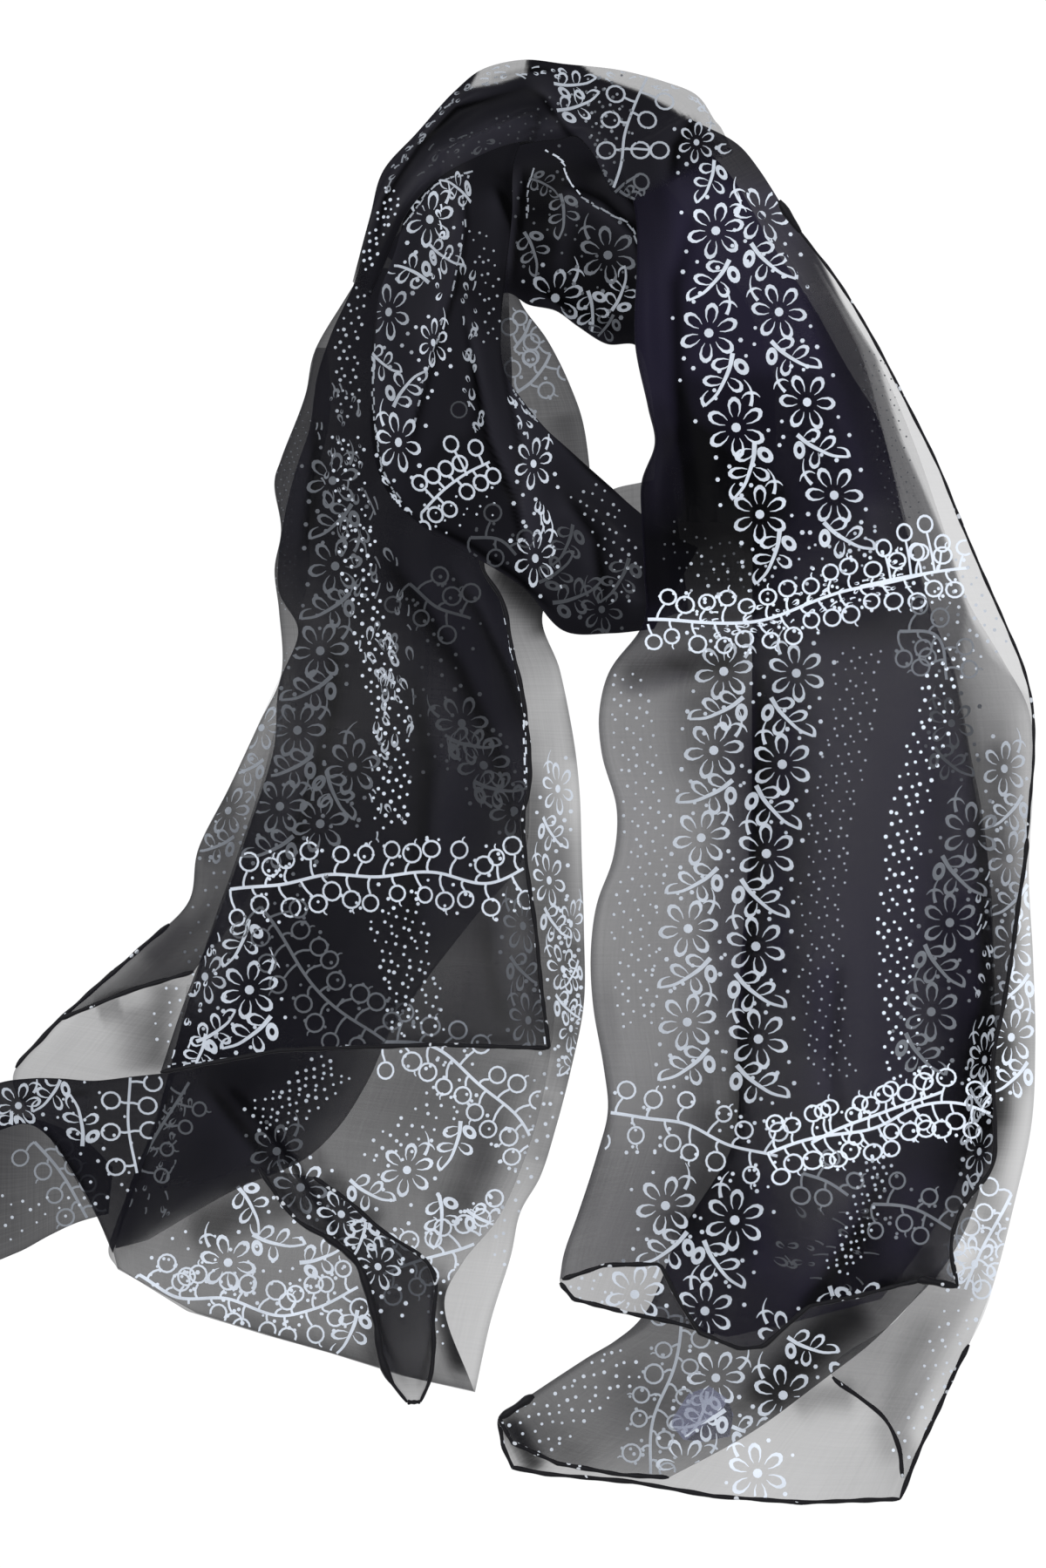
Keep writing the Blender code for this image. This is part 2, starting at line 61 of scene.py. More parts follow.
# ---------------------------------------------------------------- sizes of the cloth, mm
WALL = 1.2                 # the solids' wall
PITCH = 2.0                # mesh pitch of flat stretches
PLEATED_PITCH = 1.6        # mesh pitch of pleated stretches
GAP = 0.35                 # least gap between two surfaces
LEAST_HEAP = 0.2           # least thickness of a pleated stretch
LOWEST = 0.3               # from the floor to a pleated stretch's underside
EDGE_LINE = 1.4            # width of the darker line along a folded edge
FOLD_BULGE = 1.0           # how far a folded edge rounds out
HEM_RADIUS = 1.05          # rolled hem
NUB_RADIUS = 1.8           # a hem's bunched end
FINE_HEM_RADIUS = 0.7      # the finer hem of the right tail's long edge
INK_LIFT = 0.16            # from a surface to the print on it
RAY_HEIGHT = 200.0         # where the rays start that read heights
MAP_HALF = (300.0, 400.0)  # half the area that the height map covers
MAP_GRAIN = 1.5            # the side of its spots

# ---------------------------------------------------------------- shares and counts
ROUNDING = 9            # passes that round the solids' facets off
HEM_REACH = 0.25        # share of a stretch that a shaped hem pulls along with it
EDGE_CROWDING = 0.3     # how much the mesh's columns crowd towards the edges
SHADE_ENDS = 0.15       # share of a shade's length over which each end fades
CREASE_ENDS = 0.2       # the same for a crease
PAINTED_SHINE = 0.3             # painted shine between folds, from the cloth's dark colour (0) to its light one (1)
SHADE_DULLS = 0.12      # painted shine that a layer of painted shade takes away
LIT_SIDE = 0.25         # painted highlight on a crease's gentle side, for each mm that it rises
LIT_RIDGE = 0.15        # painted highlight on an even ridge, for each mm that it rises
DARK_FOOT = 0.35        # painted shade: shine that the foot of a crease's steep side loses
STEEPNESS = 4           # how much steeper a crease's steep side is
FOOT_SHIFT = 0.3        # how far down the steep side its painted dark foot lies, in half widths
FOOT_WIDTH = 0.7        # the foot's own half width, in the crease's
PATCH_SLOPE = 1.25      # how sharply a patch ends, against its softness
SETTLING = 3            # passes that smooth a surface where others hold it up
COARSE_STEPS = 100      # points along the guide of scattered leaves
FINE_STEPS = 200        # points along the guide of dots and flecks
GOLDEN = 0.381966       # the golden share, which spreads dots over lanes
LEAVES = 0.55           # share of scattered shapes that are leaves
BRANCH_DOTS = 0.55      # dots to a millimetre of branch


def mm(points):
    """Photo pixels to millimetres from the middle of the layout."""
    table = np.array(points, float)
    x = PIXEL * (table[..., 0] - PHOTO_SIZE[0] / 2)
    y = PIXEL * (PHOTO_SIZE[1] / 2 - table[..., 1])
    return np.stack([x, y], axis=-1)


# ---------------------------------------------------------------- sections of each stretch
# Each row: left edge x, y, right edge x, y.
LEFT_GROUND = (
    (-72, 238, -4, 228), (-82, 222, 0, 219), (-95, 200, 11, 204), (-100, 178, 22, 182),
    (-111, 149, 29, 158), (-114, 139, 31, 136), (-111, 116, 26, 112), (-114, 98, 16, 94),
    (-112, 80, 9, 78), (-111, 50, 17, 52), (-121, 28, 23, 22), (-135, -2, 26, -4),
    (-149, -30, 27, -34), (-154, -55, 28, -68), (-176, -76, 28, -100), (-200, -97, 22, -131),
    (-220, -116, 15, -158), (-234, -137, 8, -180), (-216, -164, -1, -196), (-198, -194, -6, -218),
    (-189, -212, -15, -247), (-186, -222, -22, -279),
)
LEFT_RIM = (
    (-95, 200, -90, 200), (-100, 178, -88, 178), (-111, 149, -92, 152), (-114, 139, -96, 139),
    (-111, 116, -98, 116), (-114, 98, -98, 98), (-112, 85, -103, 74),
)
LEFT_LOBE = (
    (-111, 50, -100, 50), (-121, 28, -106, 28), (-135, -2, -110, -2), (-149, -30, -118, -30),
    (-154, -55, -128, -55), (-174, -74, -138, -70), (-195, -93, -145, -78),
    (-213, -108, -151, -86),
)
LEFT_SECOND = (
    (-154, -92, 16, -80), (-158, -116, 14, -112), (-163, -135, 9, -144), (-171, -160, 0, -174),
    (-179, -181, -12, -200), (-186, -200, -28, -220), (-190, -212, -36, -236),
    (-186, -222, -23, -277),
)
LEFT_MIDDLE = (
    (-113, 28, 2, 20), (-120, 0, 3, -8), (-132, -36, -1, -36), (-142, -64, -22, -61),
    (-151, -92, -46, -92), (-158, -116, -62, -116), (-163, -135, -70, -134),
    (-170, -160, -86, -159), (-179, -181, -102, -173), (-184, -198, -132, -186),
    (-187, -213, -172, -209),
)
LEFT_TIE = (
    (-121, -176, -96, -180), (-104, -199, -80, -191), (-86, -210, -64, -205),
    (-74, -223, -44, -219), (-70, -236, -40, -228), (-67, -248, -41, -244), (-65, -262, -41, -260),
    (-60, -274, -43, -274), (-53, -283, -47, -283),
)
CORNER_UNDER = (
    (-190, -197, -188, -176), (-204, -201, -200, -164), (-217, -207, -216, -156),
    (-232, -215, -232, -152), (-252, -220, -250, -150), (-261, -214, -262, -158),
)
CORNER_UPPER = (
    (-188, -215, -159, -132), (-193, -203, -178, -134), (-198, -192, -196, -136),
    (-206, -178, -212, -135), (-216, -163, -226, -135), (-226, -156, -240, -137),
    (-244, -160, -254, -147),
)
LEFT_PANEL = (
    (-69, 258, -10, 282), (-78, 228, -7, 240), (-88, 206, -6, 208), (-94, 188, -5, 184),
    (-98, 162, -8, 152), (-104, 144, -14, 126), (-109, 124, -18, 110), (-112, 104, -18, 98),
    (-112, 89, -10, 85), (-103, 70, -5, 62), (-111, 48, 0, 40), (-115, 12, 3, 0),
    (-124, -16, 0, -16), (-132, -40, 2, -40), (-140, -62, 6, -68), (-149, -84, 8, -90),
    (-157, -105, 10, -106), (-166, -132, 12, -121),
)
BACK_INNER = (
    (58, 120, 112, 120), (61, 156, 116, 160), (58, 184, 112, 196), (52, 201, 96, 232),
    (38, 202, 72, 266), (25, 210, 51, 291), (15, 217, 27, 303), (2, 220, 0, 303),
    (-6, 225, -23, 291), (-16, 222, -44, 268), (-28, 208, -64, 244),
)
CROSSING_UNDER = ((14, 88, 32, 128), (38, 74, 41, 135), (56, 74, 54, 138), (76, 80, 68, 140))
CROSSING = (
    (-42, 284, 4, 304), (-52, 266, -4, 284), (-58, 244, -5, 260), (-66, 222, -8, 232),
    (-69, 200, -10, 210), (-70, 178, -9, 190), (-68, 149, 0, 175), (-61, 132, 10, 163),
    (-46, 118, 20, 154), (-24, 105, 30, 145), (0, 90, 40, 136), (19, 70, 51, 126),
    (40, 69, 64, 116), (60, 71, 80, 108),
)
BACK_OUTER = (
    (51, 266, 96, 289), (41, 271, 88, 304), (32, 288, 78, 317), (25, 296, 65, 322),
    (16, 295, 46, 327), (5, 294, 20, 330), (-8, 291, -1, 332), (-18, 287, -18, 328),
    (-32, 280, -31, 318), (-44, 271, -49, 298), (-54, 258, -64, 281), (-62, 240, -70, 260),
    (-70, 222, -78, 230),
)
# Each row: left edge x, y, lower leaf's right edge x, y, upper leaf's right edge x, y.
RIGHT_UNDER_FOLD = (
    (100, 228, 138, 234, 140, 226), (102, 192, 162, 196, 156, 194), (104, 156, 178, 160, 166, 158),
    (106, 120, 192, 120, 176, 120), (106, 84, 203, 86, 185, 84), (106, 56, 220, 57, 196, 56),
    (106, 28, 232, 34, 202, 28), (106, 0, 234, 4, 207, -2), (104, -40, 232, -40, 214, -41),
    (101, -80, 234, -80, 216, -82), (99, -120, 235, -120, 216, -122),
    (100, -154, 233, -158, 214, -160), (92, -178, 225, -194, 207, -194),
    (76, -200, 218, -222, 194, -220), (65, -224, 211, -244, 178, -238),
    (58, -246, 199, -268, 160, -256), (36, -260, 190, -288, 138, -273),
    (16, -273, 182, -305, 107, -296), (-11, -291, 173, -328, 67, -318),
)
RIGHT_TURNED_EDGE = (
    (211, -198, 223, -202), (191, -221, 216, -228), (171, -246, 205, -256), (142, -272, 196, -276),
    (154, -281, 191, -286), (165, -290, 186, -296), (172, -303, 181, -307), (174, -318, 177, -320),
)
RIGHT_PANEL_FOLD = (
    (46, 288, 72, 300, 76, 304), (52, 262, 94, 280, 101, 290), (53, 240, 114, 246, 124, 257),
    (52, 202, 134, 216, 145, 229), (58, 172, 150, 188, 163, 199), (61, 155, 162, 168, 178, 170),
    (55, 138, 169, 144, 190, 146), (55, 120, 174, 122, 199, 124), (56, 96, 182, 96, 210, 98),
    (55, 71, 190, 71, 222, 71), (41, 53, 197, 54, 229, 54), (36, 35, 201, 36, 233, 38),
    (37, 14, 205, 14, 234, 16), (44, -12, 210, -12, 232, -10), (42, -35, 213, -35, 230, -34),
    (35, -54, 214, -54, 227, -54), (32, -77, 215, -77, 224, -77), (33, -101, 214, -101, 220, -101),
    (38, -130, 210, -130, 215, -129), (40, -150, 208, -152, 216, -152),
    (35, -170, 202, -174, 215, -174), (26, -198, 190, -200, 200, -196),
    (20, -215, 180, -216, 196, -213), (18, -227, 164, -236, 199, -230),
)
# Each row: share of the way across, drop past the last section.
HEM_STRAIGHT = ((0, 0), (1, 0))
HEM_GROUND = ((0, 0), (0.2, 8.5), (0.42, 7), (0.6, 5), (0.8, 4), (1, 0))
HEM_LOBE = ((0, 0), (0.5, -4), (1, 0))
HEM_SECOND = ((0, 0.5), (0.2, 10), (0.42, 8.8), (0.6, 7), (0.8, 5.8), (1, 1.5))
HEM_LEFT_PANEL = ((0, 0), (0.3, -7), (0.7, -5), (1, 0))
HEM_UNDER_LOWER = (
    (0, 0), (0.06, 14), (0.12, 24), (0.2, 24), (0.4, 19), (0.6, 18), (0.8, 12), (1, 0),
)
HEM_UNDER_UPPER = ((0, 0), (0.2, 11), (0.5, 14), (0.8, 8), (1, 0))
HEM_PANEL_LOWER = ((0, 2), (0.07, 10), (0.26, 15), (0.4, 18), (0.6, 24), (0.75, 16), (1, 0))
HEM_PANEL_UPPER = (
    (0, 0), (0.11, -7), (0.25, -8), (0.29, 8), (0.34, 23), (0.44, 30), (0.5, 29), (0.62, 10),
    (0.75, 5), (0.91, -3), (1, 0),
)

# ---------------------------------------------------------------- how many layers of cloth
# Each row: share along, then the layers at even steps from the left edge to the right edge.
LAYERS_ONE = ((0, 1, 1), (1, 1, 1))
LAYERS_GROUND = (
    (0, 3.0, 3.0, 3.0, 2.8, 4.2), (0.07, 3.2, 3.0, 3.0, 3.1, 3.4), (0.19, 3.4, 3.0, 3.0, 3.0, 2.8),
    (0.29, 3.0, 2.5, 2.5, 2.6, 2.4), (0.34, 2.6, 2.0, 2.0, 2.3, 1.7),
    (0.39, 2.2, 1.6, 1.6, 1.7, 1.1), (0.49, 1.7, 2.2, 1.6, 2.2, 0.85),
    (0.59, 1.5, 2.8, 1.5, 2.4, 1.6), (0.7, 0.8, 1.7, 1.5, 2.2, 1.5),
    (0.81, 1.2, 1.2, 1.1, 1.6, 1.4), (0.92, 1.2, 1.0, 1.0, 1.2, 0.9), (1, 1.0, 1.1, 1.1, 1.0, 0.9),
)
LAYERS_RIM = ((0, 1.6, 1.6), (0.5, 1.2, 1.4), (1, 0.3, 0.3))
LAYERS_LOBE = ((0, 0, 0, 0), (0.4, 0.4, 1.1, 0.5), (0.75, 1.2, 2.5, 1.5), (1, 1.6, 3.0, 3.2))
LAYERS_SECOND = (
    (0, 0, 0, 0, 0, 0), (0.15, 0.6, 1.0, 1.0, 1.0, 0.3), (0.35, 1.2, 1.2, 1.3, 1.3, 0.3),
    (0.6, 1.2, 1.2, 1.2, 1.1, 0.3), (0.85, 1.2, 1.2, 1.3, 1.3, 0.7), (1, 1.1, 1.2, 1.3, 1.3, 1.1),
)
LAYERS_MIDDLE = (
    (0, 0, 0, 0, 0, 0), (0.12, 0.8, 1.2, 1.4, 1.2, 0.4), (0.35, 1.8, 2.6, 3.0, 2.6, 1.4),
    (0.5, 2.6, 4.2, 4.8, 3.4, 1.8), (0.65, 5.0, 6.0, 5.8, 4.0, 2.0),
    (0.8, 4.6, 5.8, 6.0, 3.8, 1.9), (1, 3.2, 2.8, 2.2, 1.4, 0.8),
)
LAYERS_TIE = ((0, 1.6, 1.6), (0.3, 2.8, 3.0), (0.5, 3.4, 3.4), (0.75, 2.8, 2.6), (1, 1.2, 1.2))
LAYERS_CORNER_UNDER = ((0, 2.6, 3.4), (0.4, 3.2, 3.4), (0.8, 3.4, 4.6), (1, 4.0, 5.4))
LAYERS_CORNER_UPPER = (
    (0, 3.8, 4.8, 4.4), (0.3, 3.8, 5.0, 5.0), (0.5, 5.4, 5.8, 5.4), (1, 4.6, 5.6, 6),
)
LAYERS_LEFT_PANEL = (
    (0, 6.0, 6.0, 6.0, 5.0, 0.4), (0.14, 5.2, 6.0, 6.0, 5.0, 0.6), (0.25, 3.4, 4.8, 5.4, 5.6, 5.4),
    (0.5, 2.3, 3.9, 4.4, 5.4, 5.0), (0.62, 2.4, 3.6, 4.4, 4.8, 4.8),
    (0.75, 2.8, 3.2, 3.9, 3.9, 3.0), (0.88, 3.0, 3.2, 2.9, 2.1, 2.3), (1, 2.6, 2.5, 2.2, 1.6, 1.9),
)
LAYERS_TURNED = ((0, 0, 0), (0.25, 0.6, 0.4), (0.55, 0.8, 0.5), (0.75, 0.6, 0.4), (1, 0.3, 0.3))
LAYERS_BACK_INNER = (
    (0, 0, 0, 0), (0.06, 0.6, 0.6, 0.6), (0.13, 2.5, 2.5, 2.5), (0.22, 7.5, 7.5, 7.5),
    (1, 7.5, 7.5, 7.5),
)
LAYERS_CROSSING_UNDER = ((0, 2.6, 2.6), (1, 2.6, 2.6))
LAYERS_CROSSING = ((0, 7.5, 7.5, 7.5), (0.85, 7.0, 7.5, 7.5), (1, 5.5, 6.5, 6.5))
LAYERS_BACK_OUTER = (
    (0, 0, 0, 0, 0, 0), (0.06, 3.5, 4.5, 4.5, 4.5, 3.5), (0.15, 7, 7, 7, 6.5, 6),
    (0.9, 7, 7, 7, 7, 6), (1, 1, 1, 1, 1, 1),
)
LAYERS_PANEL_LOWER = (
    (0, 4, 4, 4, 4, 4), (0.3, 3.6, 3.4, 3.2, 3.0, 2.6), (0.4, 3.4, 3.0, 2.6, 2.2, 1.8),
    (0.44, 1.8, 1.6, 1.4, 1.3, 1.1), (0.48, 1.0, 1.1, 1.25, 1.2, 1.0),
    (0.6, 1.0, 1.05, 1.25, 1.3, 1.3), (0.8, 1.0, 1.1, 1.3, 1.4, 1.5),
    (0.9, 1.2, 1.4, 1.6, 1.6, 1.4), (1, 1.1, 1.3, 2.0, 1.8, 1.5),
)
LAYERS_PANEL_UPPER = (
    (0, 5, 5, 5, 5, 5), (0.15, 4.4, 4.0, 3.8, 4.4, 5.2), (0.22, 4.2, 3.8, 3.6, 3.6, 3.6),
    (0.3, 4.2, 4.0, 3.6, 3.2, 2.8), (0.4, 3.6, 3.2, 2.8, 2.6, 2.2),
    (0.44, 1.9, 1.8, 1.8, 1.7, 1.2), (0.48, 1.05, 1.3, 1.3, 1.4, 0.7),
    (0.6, 1.0, 1.1, 1.3, 1.5, 0.8), (0.7, 1.0, 1.2, 1.4, 1.7, 1.6),
    (0.8, 1.05, 1.3, 1.4, 1.8, 1.8), (0.9, 1.3, 1.8, 1.5, 1.8, 1.8), (1, 1.5, 1.8, 1.9, 1.9, 1.5),
)
LAYERS_UNDER_LOWER = (
    (0, 0, 0, 0, 0, 0, 0), (0.06, 1, 1, 1, 0.8, 0.6, 0.5), (0.25, 1.2, 1.2, 1.1, 0.9, 0.6, 0.4),
    (0.32, 1.1, 1.1, 1.1, 1.0, 1.2, 0.7), (0.4, 1.1, 1.1, 1.1, 1.2, 1.4, 0.6),
    (0.5, 1.2, 1.2, 1.2, 1.4, 1.5, 0.6), (0.6, 1.2, 1.2, 1.2, 1.6, 1.8, 0.8),
    (0.7, 1.2, 1.2, 1.2, 1.5, 1.4, 0.6), (0.8, 1.5, 1.3, 1.2, 1.0, 1.0, 0.6),
    (0.9, 1.2, 1.2, 1.1, 1.0, 1.0, 1.1), (1, 1.2, 1.1, 1.0, 0.9, 0.9, 1.1),
)
LAYERS_UNDER_UPPER = (
    (0, 0, 0, 0, 0, 0), (0.06, 1, 1, 1, 1, 0.8), (0.2, 1.2, 1.2, 1.1, 1.0, 0.8),
    (0.4, 1.2, 1.2, 1.2, 1.3, 1.1), (0.6, 1.2, 1.2, 1.3, 1.8, 1.8), (0.7, 1.2, 1.3, 1.4, 2.0, 2.0),
    (0.8, 1.8, 1.8, 2.2, 2.4, 2.0), (0.9, 1.4, 1.5, 2.0, 2.0, 1.6), (1, 1.5, 1.5, 1.4, 1.1, 1.0),
)

# ---------------------------------------------------------------- painted soft shade where cloth bunches
# Each row: photo pixels along it, half width mm, extra layers. The extra layers darken the
# cloth as painted shade, also where shadows fall, and lighten it where they are negative.
SHADES_PANEL_UPPER = (
    (((700, 780), (760, 768), (820, 752), (870, 735)), 7.0, 1.4),
    (((868, 735), (868, 900), (860, 1050), (852, 1180), (845, 1300), (815, 1370)), 5.0, 1.6),
    (((890, 750), (890, 900), (882, 1050), (885, 1180)), 11.0, 1.5),
    (((835, 730), (842, 900), (834, 1060), (826, 1220)), 9.0, 1.6),
    (((790, 740), (795, 860), (800, 900)), 12.0, 0.4),
    (((1085, 1000), (1108, 1100), (1115, 1200), (1112, 1300), (1085, 1400)), 13.0, 1.7),
    (((1130, 1190), (1136, 1240), (1130, 1300)), 8.0, 2.2),
    (((1140, 1050), (1144, 1165)), 8.0, -0.7),
    (((780, 1385), (776, 1420)), 10.0, 1.0),
    (((880, 860), (905, 930), (900, 980)), 9.0, 0.4),
    (((830, 740), (845, 840), (850, 920)), 8.0, 0.4),
    (((812, 980), (818, 1040), (816, 1100)), 8.0, 0.4),
    (((1070, 760), (1075, 860), (1090, 960)), 12.0, 0.5),
    (((850, 1330), (850, 1400), (862, 1450)), 10.0, 1.3),
    (((800, 1380), (800, 1430), (812, 1460)), 10.0, 0.6),
    (((1000, 1390), (970, 1460), (920, 1520)), 14.0, 1.6),
    (((1000, 1480), (1050, 1472), (1085, 1474)), 5.0, 2.4),
    (((780, 480), (790, 560), (800, 640)), 14.0, 2.0),
    (((900, 560), (880, 600), (850, 640)), 12.0, 1.2),
    (((1125, 1150), (1128, 1230), (1122, 1310)), 8.0, 1.6),
    (((800, 780), (806, 860), (812, 930)), 10.0, 0.5),
    (((810, 1170), (805, 1260), (795, 1330), (785, 1400)), 12.0, 0.6),
    (((690, 1100), (700, 1200), (690, 1330), (660, 1430)), 5.0, 0.35),
    (((1000, 560), (1000, 610), (930, 650), (900, 680)), 11.0, -1.3),
    (((860, 830), (860, 960)), 8.0, 0.7),
    (((860, 1100), (856, 1250)), 8.0, 0.7),
    (((940, 1100), (942, 1220)), 9.0, 0.9),
    (((1062, 1110), (1062, 1220)), 8.0, -1.0),
    (((822, 1250), (820, 1320), (806, 1370), (782, 1440)), 9.0, 0.9),
    (((965, 1345), (950, 1400), (935, 1480)), 12.0, -1.2),
    (((1060, 1425), (1056, 1462)), 7.0, 1.2),
)
SHADES_UNDER_UPPER = (
    (((1000, 1490), (950, 1530), (905, 1575), (860, 1620)), 11.0, 3.2),
    (((700, 1560), (760, 1620), (800, 1660)), 12.0, 0.5),
    (((600, 1620), (640, 1660), (680, 1690)), 9.0, 0.5),
)
SHADES_UNDER_LOWER = (
    (((1144, 840), (1146, 910), (1142, 1000)), 7.0, 1.3),
    (((1146, 980), (1150, 1100), (1146, 1200), (1140, 1290), (1125, 1370)), 7.0, 2.0),
    (((1142, 1180), (1142, 1240), (1138, 1300)), 8.0, 1.6),
    (((1180, 790), (1184, 880), (1180, 980)), 8.0, -0.3),
    (((1112, 1425), (1092, 1462)), 8.0, -0.8),
    (((1138, 1385), (1132, 1420)), 6.0, 0.5),
    (((1178, 1150), (1178, 1200), (1172, 1260)), 4.0, 0.5),
    (((578, 1626), (594, 1646), (608, 1670), (618, 1690)), 4.5, 3.5),
    (((1130, 1330), (1120, 1390)), 7.0, 0.5),
    (((1075, 1500), (1040, 1560), (1015, 1640), (1025, 1690)), 6.0, 0.5),
    (((905, 1612), (940, 1600), (985, 1600)), 7.0, 0.9),
)
SHADES_GROUND = (
    (((575, 640), (600, 672), (630, 702), (642, 730)), 9.0, 4.0),
    (((655, 1170), (658, 1240)), 7.0, 0.5),
    (((268, 890), (250, 950), (235, 1000)), 7.0, 1.1),
    (((606, 860), (614, 1000), (625, 1120), (632, 1230)), 8.0, 1.2),
    (((642, 930), (646, 1040), (655, 1140), (648, 1230)), 7.0, 0.9),
    (((655, 790), (664, 880)), 5.0, 0.6),
    (((580, 1240), (560, 1320), (540, 1400)), 9.0, 0.7),
    (((645, 470), (660, 540)), 8.0, 0.8),
    (((225, 980), (205, 1060), (160, 1110)), 6.0, 0.9),
    (((192, 1120), (182, 1180), (184, 1235)), 7.0, 1.2),
    (((110, 1160), (140, 1150)), 6.0, 1.0),
    (((150, 1150), (158, 1190), (160, 1235)), 9.0, 0.8),
    (((262, 905), (255, 970)), 7.0, 0.4),
    (((585, 1215), (600, 1260)), 9.0, 0.5),
    (((300, 1350), (380, 1325)), 9.0, 0.7),
    (((660, 1070), (664, 1170)), 7.0, 0.9),
    (((656, 1225), (648, 1260)), 6.0, 0.5),
    (((630, 1250), (620, 1340)), 8.0, 0.5),
)
SHADES_SECOND = (
    (((300, 1395), (345, 1375), (390, 1365)), 7.0, 1.0),
    (((210, 1420), (260, 1405), (310, 1380)), 9.0, 1.2),
    (((545, 1270), (550, 1330), (505, 1400)), 10.0, 0.9),
    (((130, 1430), (150, 1390), (165, 1330)), 8.0, 1.0),
    (((415, 1480), (425, 1520), (440, 1570)), 6.0, 1.4),
    (((368, 1345), (400, 1375), (440, 1408)), 6.0, 1.4),
    (((504, 1460), (512, 1515), (530, 1578)), 4.5, 2.8),
    (((215, 1405), (290, 1365), (340, 1345)), 8.0, 0.9),
    (((258, 1242), (300, 1282), (336, 1332), (366, 1382), (398, 1428)), 1.8, 3.0),
    (((490, 1405), (550, 1385)), 9.0, 0.8),
    (((528, 1530), (540, 1575)), 7.0, 1.1),
    (((240, 1500), (330, 1535), (430, 1560), (520, 1582)), 5.0, 0.7),
)
SHADES_MIDDLE = (
    (((220, 1225), (300, 1230), (380, 1215)), 9.0, 0.9),
    (((265, 1240), (300, 1300), (320, 1350)), 9.0, 0.8),
    (((258, 1242), (300, 1282), (336, 1332), (366, 1382)), 1.8, 3.0),
    (((250, 1370), (300, 1360), (350, 1335)), 7.0, 0.8),
)
SHADES_PANEL = (
    (((560, 640), (580, 740), (590, 860)), 9.0, 0.9),
    (((430, 610), (480, 680), (540, 760), (575, 860)), 12.0, 1.2),
    (((330, 1060), (370, 1120), (380, 1180)), 12.0, 0.7),
    (((370, 560), (375, 640)), 9.0, 0.7),
    (((430, 1195), (520, 1192), (610, 1192)), 3.0, 0.8),
    (((340, 700), (350, 780), (345, 860)), 7.0, 0.9),
    (((385, 740), (378, 830)), 9.0, 0.6),
    (((590, 350), (592, 375)), 8.0, 1.6),
    (((420, 1160), (430, 1205)), 12.0, -0.4),
    (((592, 990), (600, 1060), (612, 1100)), 9.0, -1.0),
    (((262, 1010), (258, 1080), (240, 1140), (222, 1170)), 8.0, -1.5),
)

# ---------------------------------------------------------------- creases
# Each row: photo pixels along the crease, half width mm, height mm, reach mm of its gentle side
# (0 for an even ridge, and the gentle side is to the right of its direction), extra layers of
# painted shade along it. Each crease also paints a highlight on its gentle side and shade at its
# steep foot.
CREASES_PANEL_UPPER = (
    (((742, 300), (740, 420), (752, 520), (748, 620)), 4.0, 1.2, 0, -0.5),
    (((800, 220), (770, 330), (772, 450), (790, 560), (800, 650)), 6.0, 2.4, 12, 0.3),
    (((905, 330), (950, 440), (985, 545), (1010, 640)), 5.0, 1.8, 0, 0.2),
    (((866, 750), (866, 860), (860, 1000), (852, 1120), (848, 1230)), 3.0, 2.6, 9, 0.7),
    (((835, 760), (838, 900), (828, 1050), (822, 1200)), 5.0, 1.4, 0, -0.1),
    (((895, 740), (905, 850), (890, 1000), (895, 1150)), 6.0, 1.6, 0, 0.5),
    (((755, 755), (800, 775), (850, 755)), 3.0, -0.8, 0, 0.35),
    (((700, 785), (740, 792), (800, 770)), 3.5, 1.2, 0, 0.3),
    (((1085, 760), (1110, 880), (1118, 1000), (1125, 1130), (1120, 1230)), 7.0, 2.4, 14, 0.6),
    (((960, 1080), (955, 1150), (950, 1230), (960, 1290)), 5.0, 1.8, 10, 0.6),
    (((880, 1330), (870, 1400), (880, 1480)), 7.0, 1.8, 0, 0.5),
    (((1010, 1330), (985, 1400), (950, 1450), (900, 1520)), 6.0, 2.2, 12, 0.2),
    (((1060, 1330), (1040, 1400), (1020, 1460)), 8.0, 1.8, 0, 0.5),
    (((700, 870), (735, 930), (725, 1010), (705, 1080)), 6.0, 1.2, 0, 0.0),
    (((760, 700), (840, 712), (930, 692), (1020, 668), (1090, 655)), 3.0, 1.4, 7, 0.4),
)
CREASES_UNDER_UPPER = (
    (((930, 780), (935, 950), (930, 1100)), 7.0, 0.8, 0, 0.2),
    (((1060, 800), (1065, 980), (1050, 1180)), 8.0, 0.8, 0, 0.1),
    (((960, 1500), (900, 1560), (830, 1620)), 6.0, 1.6, 8, 0.3),
    (((700, 1590), (710, 1640), (760, 1690)), 6.0, 1.0, 0, 0.1),
)
CREASES_UNDER_LOWER = (
    (((1070, 1560), (1040, 1620), (1030, 1680)), 4.0, 1.0, 0, 0.3),
    (((940, 1620), (930, 1680), (935, 1715)), 5.0, 0.8, 0, 0.0),
)
CREASES_LEFT_PANEL = (
    (((360, 470), (355, 560), (345, 640)), 5.0, 1.6, 10, 0.3),
    (((600, 960), (575, 860), (535, 770), (485, 690), (435, 620)), 6.0, 2.2, 14, 0.6),
    (((620, 870), (590, 780), (550, 700), (510, 640)), 4.0, 2.0, 8, 0.4),
    (((380, 700), (375, 820), (340, 940), (310, 1040)), 6.0, 1.8, 10, 0.3),
    (((470, 1100), (490, 1000), (500, 880), (480, 760)), 8.0, 2.0, 16, 0.5),
    (((300, 1060), (270, 1130), (250, 1200)), 6.0, 1.4, 0, 0.2),
    (((590, 1190), (570, 1120), (560, 1040)), 6.0, 1.4, 12, 0.3),
)
CREASES_GROUND = (
    (((625, 740), (635, 850), (640, 960), (650, 1080)), 4.0, 1.0, 0, 0.1),
    (((330, 450), (325, 560), (335, 680)), 4.0, 0.8, 0, 0.2),
    (((230, 960), (240, 1010), (225, 1080)), 4.0, 0.8, 0, 0.3),
    (((100, 1150), (90, 1180), (60, 1220)), 4.0, 0.8, 0, 0.1),
)
